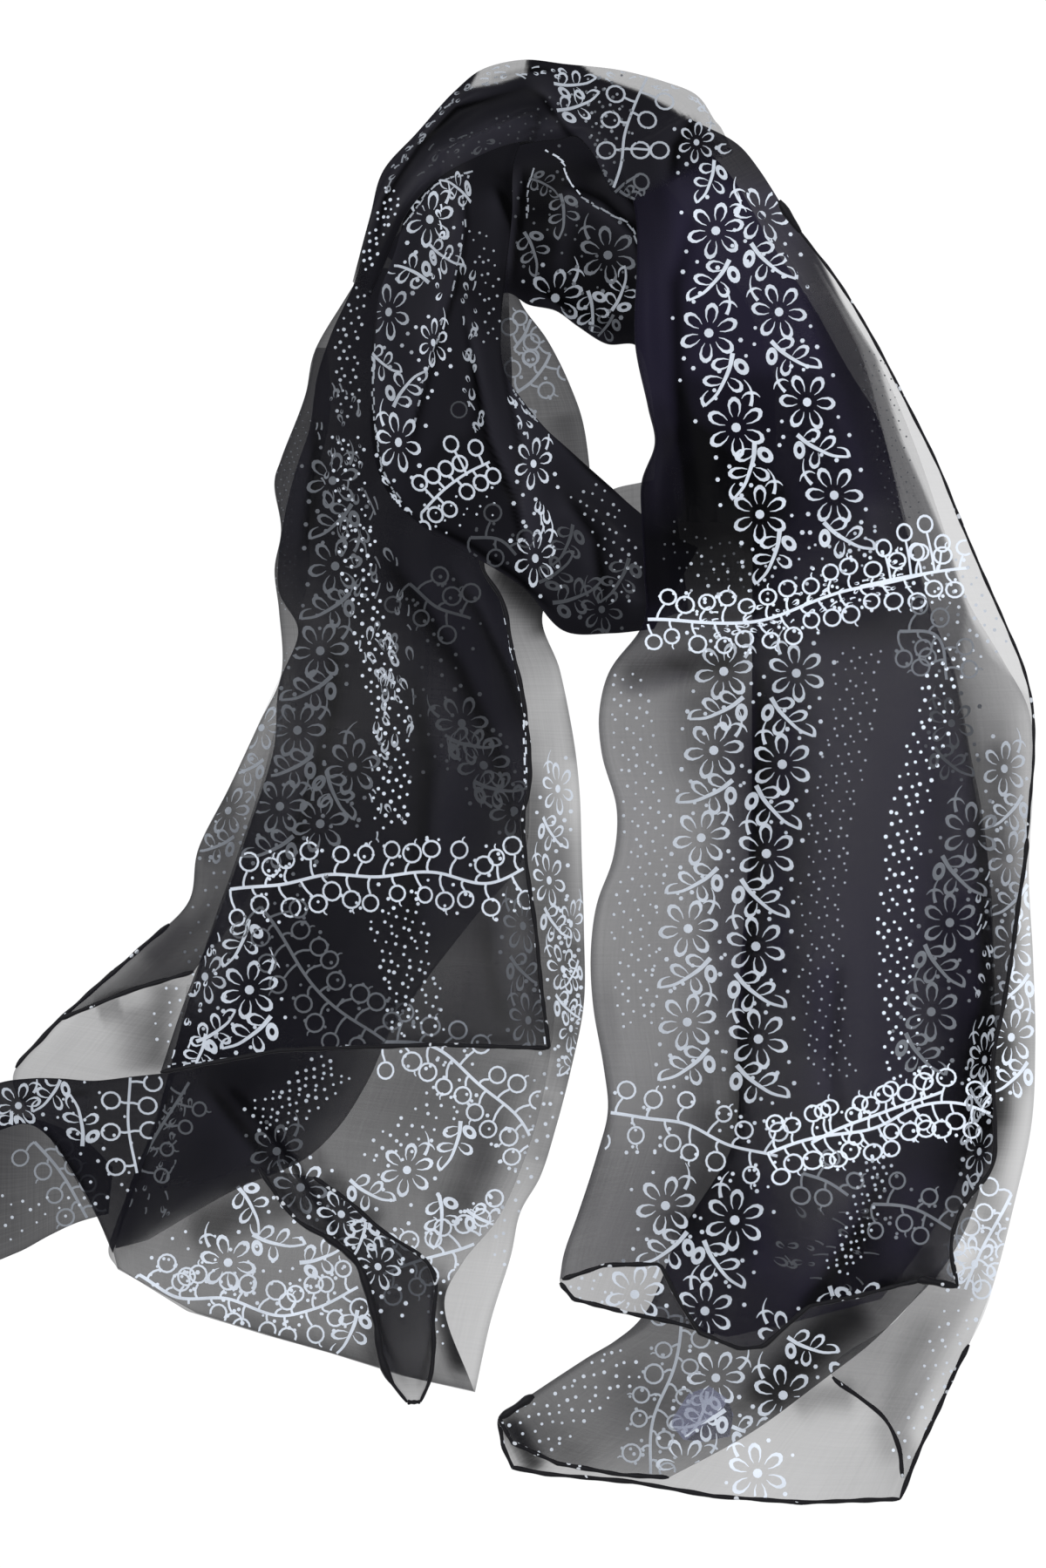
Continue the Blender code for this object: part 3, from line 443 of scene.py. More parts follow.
CREASES_LOBE = (
    (((90, 1165), (140, 1140), (200, 1132), (222, 1112)), 2.2, 1.4, 5, 1.4),
    (((160, 1100), (190, 1085), (215, 1050)), 4.0, 1.0, 0, 0.3),
)
CREASES_SECOND = (
    (((250, 1420), (290, 1360), (330, 1330)), 5.0, 1.0, 0, 0.1),
    (((210, 1500), (240, 1440), (270, 1390)), 5.0, 1.0, 8, 0.2),
    (((520, 1240), (560, 1340), (570, 1420)), 6.0, 1.0, 0, 0.0),
    (((500, 1470), (515, 1520), (538, 1580)), 3.0, 1.0, 0, 0.3),
    (((150, 1260), (160, 1350), (135, 1440)), 4.0, 1.4, 8, 0.6),
)
CREASES_MIDDLE = (
    (((230, 1240), (270, 1290), (310, 1340)), 4.0, 1.6, 9, 0.7),
    (((420, 1080), (390, 1160), (350, 1240)), 6.0, 1.4, 0, 0.3),
    (((195, 1240), (170, 1300), (150, 1370)), 3.0, 1.6, 8, 0.6),
)
CREASES_TIE = (
    (((290, 1335), (350, 1395), (400, 1430), (420, 1470), (440, 1540), (468, 1595)), 2.2, 1.6, 6,
     0.8),
    (((500, 1470), (492, 1540), (478, 1595)), 2.0, 1.2, 4, 0.8),
)
CREASES_CORNER = (
    (((10, 1262), (60, 1262), (110, 1255)), 3.0, 1.6, 6, 0.6),
    (((40, 1285), (64, 1312), (105, 1375)), 2.0, 1.4, 6, 0.8),
)
CREASES_BACK_INNER = (
    (((600, 190), (592, 260), (585, 330)), 3.0, 2.6, 7, 0.6),
    (((640, 215), (690, 235), (725, 270), (738, 320)), 3.0, 2.6, 8, 0.4),
    (((610, 330), (660, 362), (710, 385)), 2.6, 1.6, 6, 0.3),
    (((660, 200), (650, 260), (640, 330)), 4.0, 1.8, 0, 0.3),
    (((700, 190), (712, 220), (735, 250)), 3.0, 1.8, 6, 0.0),
)
CREASES_CROSSING = (
    (((496, 610), (464, 580), (444, 552), (434, 512), (429, 460), (430, 404), (437, 312),
      (450, 282), (474, 248), (497, 218), (551, 198)), 2.2, 2.2, 8, 0.2),
    (((546, 196), (532, 224), (534, 260), (530, 296), (520, 340), (500, 404), (476, 484),
      (460, 548)), 2.2, 2.8, 9, 0.2),
    (((606, 650), (590, 572), (562, 505), (546, 425), (530, 345)), 2.4, 2.8, 8, 0.4),
    (((610, 690), (603, 640), (598, 580), (600, 520), (585, 450), (572, 380)), 2.2, 2.8, 8, 0.5),
    (((588, 430), (604, 470), (632, 496), (676, 544), (716, 580)), 2.4, 1.6, 5, 0.3),
    (((480, 600), (540, 630), (590, 665), (640, 710)), 3.0, 1.8, 6, 0.5),
    (((640, 560), (680, 620), (690, 700)), 4.0, 2.0, 9, 0.3),
    (((700, 600), (720, 660), (735, 715)), 4.0, 1.6, 0, 0.3),
    (((565, 215), (585, 260), (600, 320)), 3.0, 2.0, 8, 0.2),
)
CREASES_BACK_OUTER = (
    (((605, 100), (560, 114), (523, 124), (480, 168), (440, 230), (425, 300)), 2.2, 2.2, 6, 0.4),
    (((450, 240), (500, 182), (560, 146), (630, 132)), 7.0, 1.8, 0, 0.0),
    (((702, 228), (676, 175), (651, 151), (625, 113), (600, 98)), 2.4, 2.6, 8, 0.5),
    (((800, 130), (770, 170), (765, 240)), 4.0, 2.0, 10, 0.2),
    (((560, 95), (600, 84), (640, 84)), 2.0, 1.0, 4, 0.3),
)

# ---------------------------------------------------------------- bounded areas
# Each row: outline in photo pixels, layers there, painted shine there (None: as it was),
# softness mm. The painted shine lightens and darkens whole areas as painted light and shade.
PATCHES_PANEL_UPPER = (
    (((938, 296), (962, 300), (996, 346), (1020, 395), (1056, 480), (1100, 568), (1133, 640),
      (1160, 715), (1180, 765), (1192, 806), (1180, 800), (1133, 752), (1107, 700), (1088, 636),
      (1060, 570), (1032, 508), (998, 408), (968, 356)), 0.55, None, 0.8),
    (((935, 305), (1004, 412), (1032, 508), (1060, 570), (1088, 636), (1107, 700), (1098, 790),
      (1062, 690), (1040, 600), (1014, 505), (985, 400)), 2.4, None, 1.0),
    (((728, 235), (765, 235), (770, 440), (735, 440)), None, 0.28, 6.0),
    (((768, 205), (905, 215), (940, 430), (785, 430)), None, 0.8, 6.0),
    (((728, 455), (770, 470), (900, 560), (880, 690), (725, 700)), None, 0.02, 6.0),
    (((932, 740), (1075, 740), (1050, 1260), (928, 1260)), None, 0.72, 6.0),
)
PATCHES_UNDER_LOWER = (
    (((938, 296), (962, 300), (996, 346), (1052, 480), (1130, 640), (1176, 765), (1160, 775),
      (1107, 700), (1053, 570), (992, 408)), 0.3, None, 0.8),
    (((985, 1545), (1080, 1440), (1150, 1360), (1160, 1420), (1085, 1560), (985, 1600)), 1.1, None,
     5.0),
    (((1165, 1400), (1150, 1480), (1100, 1580), (1060, 1680), (1040, 1640), (1090, 1540)), 0.45,
     None, 4.0),
)
PATCHES_CROSSING = (
    (((524, 345), (534, 345), (548, 425), (562, 505), (575, 535), (545, 500), (505, 505),
      (478, 540), (492, 450), (510, 380)), None, 0.5, 2.5),
    (((545, 430), (562, 505), (590, 570), (560, 540), (540, 500)), None, 0.15, 3.0),
    (((572, 205), (612, 190), (612, 340), (585, 340), (575, 270)), None, 0.05, 4.0),
    (((405, 330), (430, 262), (470, 222), (440, 290), (426, 400), (428, 470), (405, 440)), None,
     0.75, 3.0),
)
PATCHES_BACK_INNER = (
    (((600, 200), (700, 180), (750, 260), (735, 400), (640, 380), (590, 330)), None, 0.1, 5.0),
)
PATCHES_BACK_OUTER = (
    (((652, 64), (715, 74), (770, 82), (814, 108), (850, 170), (842, 184), (818, 162), (797, 146),
      (766, 126), (732, 108), (680, 90)), 0.6, None, 0.9),
    (((534, 106), (552, 72), (582, 62), (608, 64), (606, 88), (574, 99)), 0.7, None, 0.9),
    (((437, 262), (446, 215), (480, 175), (524, 124), (560, 106), (597, 99), (625, 115),
      (651, 152), (640, 158), (590, 172), (545, 188), (500, 210), (465, 240)), None, 0.25, 2.0),
    (((440, 262), (452, 235), (500, 178), (560, 146), (640, 136), (648, 158), (590, 172),
      (545, 188), (500, 210), (465, 240)), None, 0.75, 3.0),
)


# ---------------------------------------------------------------- lines and areas
def length_of(points):
    return np.hypot(*np.diff(points, axis=0).T).sum()


def smooth(table, guide, count):
    """The table's rows at count even steps along the guide, on a smooth curve through them."""
    along = np.concatenate(([0], np.cumsum(np.hypot(*np.diff(guide, axis=0).T))))
    slope = np.gradient(table, along, axis=0)
    wanted = np.linspace(0, along[-1], count)
    k = np.clip(np.searchsorted(along, wanted, side="right") - 1, 0, len(along) - 2)
    span = (along[k + 1] - along[k])[:, None]
    t = (wanted - along[k])[:, None] / span
    return (
        (2 * t**3 - 3 * t**2 + 1) * table[k]
        + (t**3 - 2 * t**2 + t) * span * slope[k]
        + (3 * t**2 - 2 * t**3) * table[k + 1]
        + (t**3 - t**2) * span * slope[k + 1]
    )


def middles(table):
    """The middle of each section."""
    return (table[:, 0:2] + table[:, 2:4]) / 2


def distance_to(plan, line):
    """Distance of each plan point from a line of points, with the sign of its side, and how far
    along the line its nearest place is, as a share."""
    lengths = np.hypot(*np.diff(line, axis=0).T)
    starts = np.concatenate(([0], np.cumsum(lengths)[:-1]))
    best = np.full(plan.shape[:-1], np.inf)
    side = np.ones(plan.shape[:-1])
    share = np.zeros(plan.shape[:-1])
    for start, end, length, before in zip(line[:-1], line[1:], lengths, starts):
        step = (end - start) / length
        reach = plan - start
        t = np.clip(reach @ step, 0, length)
        away = reach - t[..., None] * step
        d = np.hypot(away[..., 0], away[..., 1])
        nearer = d < best
        best = np.where(nearer, d, best)
        cross = step[0] * reach[..., 1] - step[1] * reach[..., 0]
        side = np.where(nearer, np.where(cross > 0, -1.0, 1.0), side)
        share = np.where(nearer, (before + t) / lengths.sum(), share)
    return best * side, share


def depth_in(plan, outline):
    """How far each plan point is inside the outline, less than nothing outside it."""
    closed = np.concatenate([outline, outline[:1]])
    depth = np.abs(distance_to(plan, closed)[0])
    x, y = plan[..., 0], plan[..., 1]
    within = np.zeros(x.shape, bool)
    for (x0, y0), (x1, y1) in zip(closed[:-1], closed[1:]):
        if y0 != y1:
            within ^= ((y0 > y) != (y1 > y)) & (x < x0 + (y - y0) * (x1 - x0) / (y1 - y0))
    return np.where(within, depth, -depth)


# ---------------------------------------------------------------- surfaces of cloth
class Leaf:
    """One surface of cloth: plan points, heights and layers on a grid, rows along the stretch."""

    def __init__(self, rows, hem=HEM_STRAIGHT, layers=LAYERS_ONE, pitch=PITCH, steps=None,
                 fold_lines=(0, 0), end_line=0):
        table = np.array(rows, float)
        widest = np.hypot(*(table[:, 2:4] - table[:, 0:2]).T).max()
        self.length = length_of(middles(table))
        steps = steps or max(6, round(self.length / pitch))
        even = np.linspace(0, 1, max(5, round(widest / pitch)) + 1)
        crowded = 0.5 - 0.5 * np.cos(np.pi * even)
        self.share = (1 - EDGE_CROWDING) * even + EDGE_CROWDING * crowded
        self.along = np.linspace(0, 1, steps + 1)
        self.lay_out(smooth(table, middles(table), steps + 1), hem)
        self.count_layers(np.array(layers, float), fold_lines, end_line)
        self.height = np.zeros(self.layers.shape)
        # painted shine: painted highlights and shade on the cloth's colour, from patches, shades
        # and creases
        self.painted_shine = np.full(self.layers.shape, PAINTED_SHINE)

    def lay_out(self, sections, hem):
        """Plan points between the sections' ends, with the last rows pulled to the hem's line."""
        left, right = sections[:, None, 0:2], sections[:, None, 2:4]
        plan = left + self.share[None, :, None] * (right - left)
        middle = (len(self.share) - 1) // 2
        ahead = plan[-1, middle] - plan[-2, middle]
        ahead /= np.hypot(*ahead)
        drop = np.interp(self.share, *np.array(hem, float).T)
        near_end = np.clip(1 - (1 - self.along) / HEM_REACH, 0, 1) ** 2
        self.plan = plan + near_end[:, None, None] * drop[None, :, None] * ahead
        self.width = np.hypot(*(right[:, 0] - left[:, 0]).T)

    def count_layers(self, table, fold_lines, end_line):
        """Layers at each point from the table, with more in a line at the folded edges and end."""
        steps = [np.interp(self.along, table[:, 0], column) for column in table[:, 1:].T]
        places = np.linspace(0, 1, len(steps))
        self.layers = np.stack([np.interp(self.share, places, row) for row in np.stack(steps, 1)])
        for edge, extra in zip((0, 1), fold_lines):
            away = np.abs(self.share[None, :] - edge) * self.width[:, None]
            self.layers += extra * np.exp(-(away / EDGE_LINE) ** 2)
        from_end = (1 - self.along[:, None]) * self.length
        self.layers += end_line * np.exp(-(from_end / EDGE_LINE) ** 2)

    def looks(self):
        """Layers and painted shine at each point."""
        return np.stack([self.layers, self.painted_shine], -1)

    def points(self):
        """The surface's points in the frame, in metres."""
        return np.concatenate([self.plan + SHIFT, self.height[..., None]], -1) * MM

    def tree(self):
        faces = grid_faces(*self.height.shape)
        return BVHTree.FromPolygons(self.points().reshape(-1, 3).tolist(), faces)


def grid_faces(rows, columns):
    i, j = np.meshgrid(np.arange(rows - 1), np.arange(columns - 1), indexing="ij")
    a = (i * columns + j).ravel()
    return np.stack([a, a + 1, a + columns + 1, a + columns], 1).tolist()


def softened(height, passes):
    for _ in range(passes):
        padded = np.pad(height, 1, mode="edge")
        around = padded[:-2, 1:-1] + padded[2:, 1:-1] + padded[1:-1, :-2] + padded[1:-1, 2:]
        height = (2 * height + around) / 6
    return height


def filled(rows):
    """Fills each row's gaps from what is known beside them."""
    for row in rows:
        known = np.flatnonzero(~np.isnan(row))
        if len(known):
            row[:] = np.interp(np.arange(len(row)), known, row[known])


def read_heights(leaf, node, from_above):
    """Heights of the middle of the solid's wall over the leaf's plan, smoothed over its facets."""
    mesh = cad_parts[node].data
    corners = [vertex.co for vertex in mesh.vertices]
    tree = BVHTree.FromPolygons(corners, [tuple(face.vertices) for face in mesh.polygons])
    side = 1 if from_above else -1
    start, way = side * RAY_HEIGHT * MM, Vector((0, 0, -side))
    height = np.full(leaf.height.shape, np.nan)
    places = (leaf.plan + SHIFT) * MM
    for i, j in np.ndindex(height.shape):
        hit = tree.ray_cast(Vector((*places[i, j], start)), way)[0]
        if hit:
            height[i, j] = hit.z / MM
    filled(height)
    filled(height.T)
    return softened(height, ROUNDING) - side * WALL / 2


# ---------------------------------------------------------------- laying the surfaces in order
class HeightMap:
    """How high the cloth already reaches over each spot of the floor, in mm."""

    def __init__(self):
        self.height = np.zeros(tuple(int(2 * half / MAP_GRAIN) for half in MAP_HALF))

    def spots(self, plan):
        """The four spots round each plan point."""
        x = ((plan[..., 0] + MAP_HALF[0]) / MAP_GRAIN).astype(int)
        y = ((plan[..., 1] + MAP_HALF[1]) / MAP_GRAIN).astype(int)
        return [(x + i, y + j) for i in (0, 1) for j in (0, 1)]

    def add(self, leaf):
        height = halved(leaf.height)
        for spot in self.spots(halved(leaf.plan)):
            np.maximum.at(self.height, spot, height)

    def under(self, leaf):
        return np.maximum.reduce([self.height[spot] for spot in self.spots(leaf.plan)])


def halved(grid):
    """The grid with a point between each two."""
    for axis in (0, 1):
        grid = np.moveaxis(grid, axis, 0)
        made = np.empty((2 * len(grid) - 1,) + grid.shape[1:])
        made[0::2] = grid
        made[1::2] = (grid[1:] + grid[:-1]) / 2
        grid = np.moveaxis(made, 0, axis)
    return grid


pile = HeightMap()


def faded(share, ends, least):
    """1 along a line, and down to the least at its two ends."""
    return np.clip(share / ends, least, 1) * np.clip((1 - share) / ends, least, 1)


def add_patch(leaf, outline, layers, painted_shine, soft):
    depth = depth_in(leaf.plan, mm(outline))
    share = 0.5 + 0.5 * np.tanh(PATCH_SLOPE * depth / soft)
    if layers is not None:
        leaf.layers += share * (layers - leaf.layers)
    # painted light and shade over the patch's area
    if painted_shine is not None:
        leaf.painted_shine += share * (painted_shine - leaf.painted_shine)


def add_shade(leaf, line, half, extra):
    # Painted shade: extra layers that darken the cloth, and less painted shine.
    d, share = distance_to(leaf.plan, mm(line))
    darker = extra * faded(share, SHADE_ENDS, 0.2) * np.exp(-(d / half) ** 2)
    leaf.layers += darker
    leaf.painted_shine -= SHADE_DULLS * darker


def add_crease(leaf, line, half, rise, reach, extra):
    # Raises the cloth, paints a highlight on the gentle side and shade at the steep foot into the
    # painted shine, and paints shade along the crease as extra layers.
    d, share = distance_to(leaf.plan, mm(line))
    ends = faded(share, CREASE_ENDS, 0)
    near = np.exp(-(d / half) ** 2)
    if reach:
        gentle = np.exp(-np.abs(d) / reach) / (1 + np.exp(-STEEPNESS * d / half))
        leaf.height += rise * ends * gentle
        near = np.exp(-((d + FOOT_SHIFT * half) / (FOOT_WIDTH * half)) ** 2)
        leaf.painted_shine += ends * (LIT_SIDE * rise * gentle - DARK_FOOT * near)
    else:
        leaf.height += rise * ends * near
        leaf.painted_shine += LIT_RIDGE * rise * ends * near
    leaf.layers += extra * ends * near


def lay(leaf, node, creases=(), shades=(), patches=(), from_above=True):
    """Puts the leaf on its solid's height, adds its creases and keeps it off what lies below."""
    leaf.height = read_heights(leaf, node, from_above)
    for add, rows in ((add_patch, patches), (add_shade, shades), (add_crease, creases)):
        for row in rows:
            add(leaf, *row)
    need = pile.under(leaf)
    need = np.where(need > 0, need + GAP, HEM_RADIUS)
    leaf.height = np.maximum(leaf.height, need)
    for _ in range(SETTLING):
        leaf.height = np.maximum(need, softened(leaf.height, 1))
    pile.add(leaf)
    return leaf


# ---------------------------------------------------------------- materials
class Look:
    """A material and short ways to add nodes to it."""

    def __init__(self, name, roughness, sheen, specular):
        self.material = bpy.data.materials.new(name)
        self.material.use_nodes = True
        self.nodes = self.material.node_tree.nodes
        self.link = self.material.node_tree.links.new
        self.inputs = self.nodes["Principled BSDF"].inputs
        self.inputs["Roughness"].default_value = roughness
        self.inputs["Sheen Weight"].default_value = sheen
        self.inputs["Sheen Roughness"].default_value = 0.4
        self.inputs["Specular IOR Level"].default_value = specular

    def node(self, kind, vector=None, **values):
        """A node with these values on its inputs, whose names have spaces for underscores."""
        node = self.nodes.new("ShaderNode" + kind)
        for name, value in values.items():
            node.inputs[name.replace("_", " ")].default_value = value
        if vector is not None:
            self.link(vector, node.inputs["Vector"])
        return node

    def math(self, operation, *values):
        node = self.node("Math")
        node.operation = operation
        for slot, value in zip(node.inputs, values):
            if isinstance(value, (int, float)):
                slot.default_value = value
            else:
                self.link(value, slot)
        return node.outputs[0]

    def stored(self, name):
        """A value stored at the mesh's points."""
        node = self.node("Attribute")
        node.attribute_name = name
        return node.outputs["Fac"]

    def uv(self, scale):
        place = self.node("UVMap")
        place.uv_map = "flat"
        return self.node("Mapping", place.outputs[0], Scale=scale).outputs[0]

    def position(self):
        return self.node("NewGeometry").outputs["Position"]

    def noise(self, vector, scale, detail=2.0):
        return self.node("TexNoise", vector, Scale=scale, Detail=detail).outputs["Fac"]

    def wave(self, vector, direction, scale):
        node = self.node("TexWave", vector, Scale=scale, Distortion=0.6, Detail_Scale=2.0)
        node.bands_direction = direction
        return node.outputs["Fac"]

    def colour(self, factor, first, second):
        """Sets the colour between the two."""
        node = self.node("Mix")
        node.data_type = "RGBA"
        node.inputs[6].default_value = (*first, 1)
        node.inputs[7].default_value = (*second, 1)
        self.link(factor, node.inputs[0])
        self.link(node.outputs[2], self.inputs["Base Color"])

    def bump(self, strength, distance, height):
        node = self.node("Bump", Strength=strength, Distance=distance)
        self.link(height, node.inputs["Height"])
        self.link(node.outputs[0], self.inputs["Normal"])


def cloth_material(name, dark, light, roughness=0.5):
    """Sheer plain weave. The layers stored at the points set how much it hides. The painted shine
    stored there mixes its colour from dark to light, as painted shade and highlights on its folds."""
    look = Look(name, roughness, sheen=0.01, specular=0.025)
    along = look.noise(look.uv((1400, 25, 1)), 1.0)
    across = look.noise(look.uv((25, 1400, 1)), 1.0)
    slubs = look.math("MULTIPLY_ADD", look.math("ADD", along, across), 0.22, 0.78)
    count = look.math("MULTIPLY", look.stored("layers"), slubs)
    through = look.math("POWER", 0.5, count)
    look.link(look.math("SUBTRACT", 1.0, through), look.inputs["Alpha"])
    # a random cloud in the cloth's tone, plus the painted shine: painted highlights and shade
    cloud = look.noise(look.uv((22, 14, 1)), 1.0, 3.0)
    tone_and_painted_light = look.math("ADD", look.math("MULTIPLY_ADD", cloud, 0.4, -0.2), look.stored("painted_shine"))
    look.colour(tone_and_painted_light, dark, light)
    threads = look.uv((1, 1, 1))
    weave = look.math("MAXIMUM", look.wave(threads, "X", 450), look.wave(threads, "Y", 450))
    look.bump(0.12, 0.0001, weave)
    return look.material


def ink_material(name, light, least):
    """Matt print, a little uneven. The tone stored at the points is lower under other layers, and
    is also set darker and lighter as painted shade and highlights on the print.
    """
    look = Look(name, 0.6, sheen=0.0, specular=0.15)
    tone = look.math("POWER", look.stored("tone"), 2.2)
    uneven = look.math("MULTIPLY_ADD", look.noise(look.position(), 60.0, 3.0), 0.6, 0.56)
    look.colour(look.math("MULTIPLY", tone, uneven), INK_DARK, light)
    grain = look.noise(look.position(), 2500.0, 1.0)
    look.link(look.math("MULTIPLY_ADD", grain, 0.25, least), look.inputs["Alpha"])
    return look.material


def hem_material():
    """The cloth rolled up on itself, near black, flecked where the print rolls in with it."""
    look = Look("rolled_hem", 0.6, sheen=0.1, specular=0.15)
    cells = look.node("TexVoronoi", look.position(), Scale=260.0)
    fleck = look.math("LESS_THAN", cells.outputs["Distance"], 0.3)
    where = look.math("GREATER_THAN", look.noise(look.position(), 45.0), 0.56)
    look.colour(look.math("MULTIPLY", fleck, where), (0.006, 0.0058, 0.008), (0.55, 0.58, 0.63))
    look.bump(0.5, 0.0004, look.noise(look.position(), 900.0))
    return look.material


INK_DARK = (0.004, 0.004, 0.006)
# Each cloth's two colours are its shaded and its lit colour; the painted shine mixes between them.
SHEER = cloth_material("sheer_cloth", (0.002, 0.002, 0.003), (0.015, 0.0145, 0.022))
COOL = cloth_material("sheer_cloth_cool", (0.001, 0.001, 0.0015), (0.019, 0.0165, 0.034))
DENSE = cloth_material("pleated_cloth", (0.0008, 0.0008, 0.0012), (0.022, 0.0215, 0.029), 0.45)
INK = ink_material("print", (0.80, 0.87, 0.98), 0.82)
# a painted bluish sheen, drawn with the print's material
PAINTED_SHEEN_INK = ink_material("painted_sheen_print", (0.52, 0.56, 0.86), 0.5)
HEM = hem_material()


# ---------------------------------------------------------------- meshes
def linked(name, data):
    thing = bpy.data.objects.new(name, data)
    bpy.context.scene.collection.objects.link(thing)
    return thing


def new_object(name, points, faces, material):
    data = bpy.data.meshes.new(name)
    data.from_pydata(points.tolist(), [], faces)
    data.shade_smooth()
    data.materials.append(material)
    thing = linked(name, data)
    # Light reaches the lower layers through the weave, so these thin pieces block none of it.
    thing.visible_shadow = False
    thing.visible_diffuse = False
    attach(thing, "root")
    return thing


def store(thing, name, values):
    """Stores a value at each of the mesh's points."""
    layer = thing.data.attributes.new(name, "FLOAT", "POINT")
    layer.data.foreach_set("value", np.array(values, np.float32).ravel())


def steps_of(points, axis):
    """How far apart neighbours in the grid are along the axis."""
    return np.linalg.norm(np.diff(points, axis=axis), axis=-1)


def cloth_object(name, points, looks, material):
    """A cloth's mesh, with its layers, its painted shine and its lengths as they lie flat."""
    faces = grid_faces(*looks.shape[:2])
    thing = new_object(name, points.reshape(-1, 3), faces, material)
    store(thing, "layers", np.clip(looks[..., 0], 0.02, 9))
    store(thing, "painted_shine", np.clip(looks[..., 1], 0, 1))
    v = np.concatenate(([0], np.cumsum(steps_of(points, 0).mean(1))))
    u = np.concatenate(([0], np.cumsum(steps_of(points, 1).mean(0))))
    flat = np.stack(np.broadcast_arrays(u[None, :], v[:, None]), -1).reshape(-1, 2)
    corners = np.empty(len(thing.data.loops), np.int32)
    thing.data.loops.foreach_get("vertex_index", corners)
    layer = thing.data.uv_layers.new(name="flat")
    layer.uv.foreach_set("vector", flat[corners].astype(np.float32).ravel())
    return thing


def folded_points(lower, upper):
    """A cloth that goes in along its lower leaf, round its left edge and back on its upper one."""
    first, last = lower.points()[:, ::-1], upper.points()
    outward = lower.plan[:, 0] - lower.plan[:, 1]
    outward /= np.hypot(*outward.T)[:, None]
    bends = []
    for turn in (0.25, 0.5, 0.75):
        point = first[:, -1] * (1 - turn) + last[:, 0] * turn
        point[:, :2] += outward * FOLD_BULGE * MM * math.sin(math.pi * turn)
        bends.append(point)
    points = np.concatenate([first, np.stack(bends, 1), last], 1)
    below, above = lower.looks(), upper.looks()
    edge = np.repeat(np.maximum(below[:, :1], above[:, :1]), len(bends), 1)
    return points, np.concatenate([below[:, ::-1], edge, above], 1)


def heap_points(top, under):
    """A pleated stretch all round: over the top, and back along its underside."""
    over, looks = top.points(), top.looks()
    points = np.concatenate([over, under.points()[:, ::-1], over[:, :1]], 1)
    return points, np.concatenate([looks, under.looks()[:, ::-1], looks[:, :1]], 1)


TUBE_SIDES = 7


def tube(line, radius):
    """Points and faces of a slightly uneven tube along a line of points, thinner at its ends."""
    ahead = np.gradient(line, axis=0)
    ahead /= np.linalg.norm(ahead, axis=1)[:, None]
    side = np.cross(ahead, (0, 0, 1))
    side /= np.maximum(np.linalg.norm(side, axis=1), 1e-9)[:, None]
    up = np.cross(side, ahead)
    t = np.arange(len(line))
    ends = np.minimum(1, 0.5 + np.minimum(t, t[::-1]) / 3)
    wobble = radius * ends * (1 + 0.14 * np.sin(0.9 * t) + 0.1 * np.sin(0.37 * t + 1))
    turns = np.linspace(0, 2 * np.pi, TUBE_SIDES, endpoint=False)[None, :, None]
    round_it = np.cos(turns) * side[:, None] + np.sin(turns) * up[:, None]
    rings = line[:, None] + wobble[:, None, None] * round_it
    faces = []
    for first in range(0, (len(line) - 1) * TUBE_SIDES, TUBE_SIDES):
        faces += [tuple(first + corner for corner in face) for face in ring_faces(TUBE_SIDES)]
    faces.append(tuple(range(TUBE_SIDES))[::-1])
    faces.append(tuple((len(line) - 1) * TUBE_SIDES + j for j in range(TUBE_SIDES)))
    return rings.reshape(-1, 3), faces


def ring_faces(count):
    """Faces between two closed rings of points."""
    return [(i, (i + 1) % count, count + (i + 1) % count, count + i) for i in range(count)]


def strip_faces(count):
    """Faces between two open lines of points."""
    return [(i, i + 1, count + i + 1, count + i) for i in range(count - 1)]


def hem_object(name, lines, radius):
    points, faces, count = [], [], 0
    for line in lines:
        some, more = tube(line, radius * MM)
        points.append(some)
        faces += [tuple(index + count for index in face) for face in more]
        count += len(some)
    return new_object(name, np.concatenate(points), faces, HEM)


# ---------------------------------------------------------------- the print's motifs
def turned(points, angle):
    c, s = math.cos(angle), math.sin(angle)
    return points @ np.array(((c, s), (-s, c)))


def directions(line):
    """The way along a line of points, and the way to its left."""
    ahead = np.gradient(line, axis=0)
    ahead /= np.hypot(*ahead.T)[:, None]
    return ahead, np.stack([-ahead[:, 1], ahead[:, 0]], 1)


def curve(points, count):
    """A smooth line through the points, at count even steps."""
    points = np.array(points, float)
    return smooth(points, points, count)


def arc(start, bend, end, count):
    t = np.linspace(0, 1, count)[:, None]
    start, bend, end = (np.array(p, float) for p in (start, bend, end))
    return (1 - t) ** 2 * start + 2 * t * (1 - t) * bend + t**2 * end


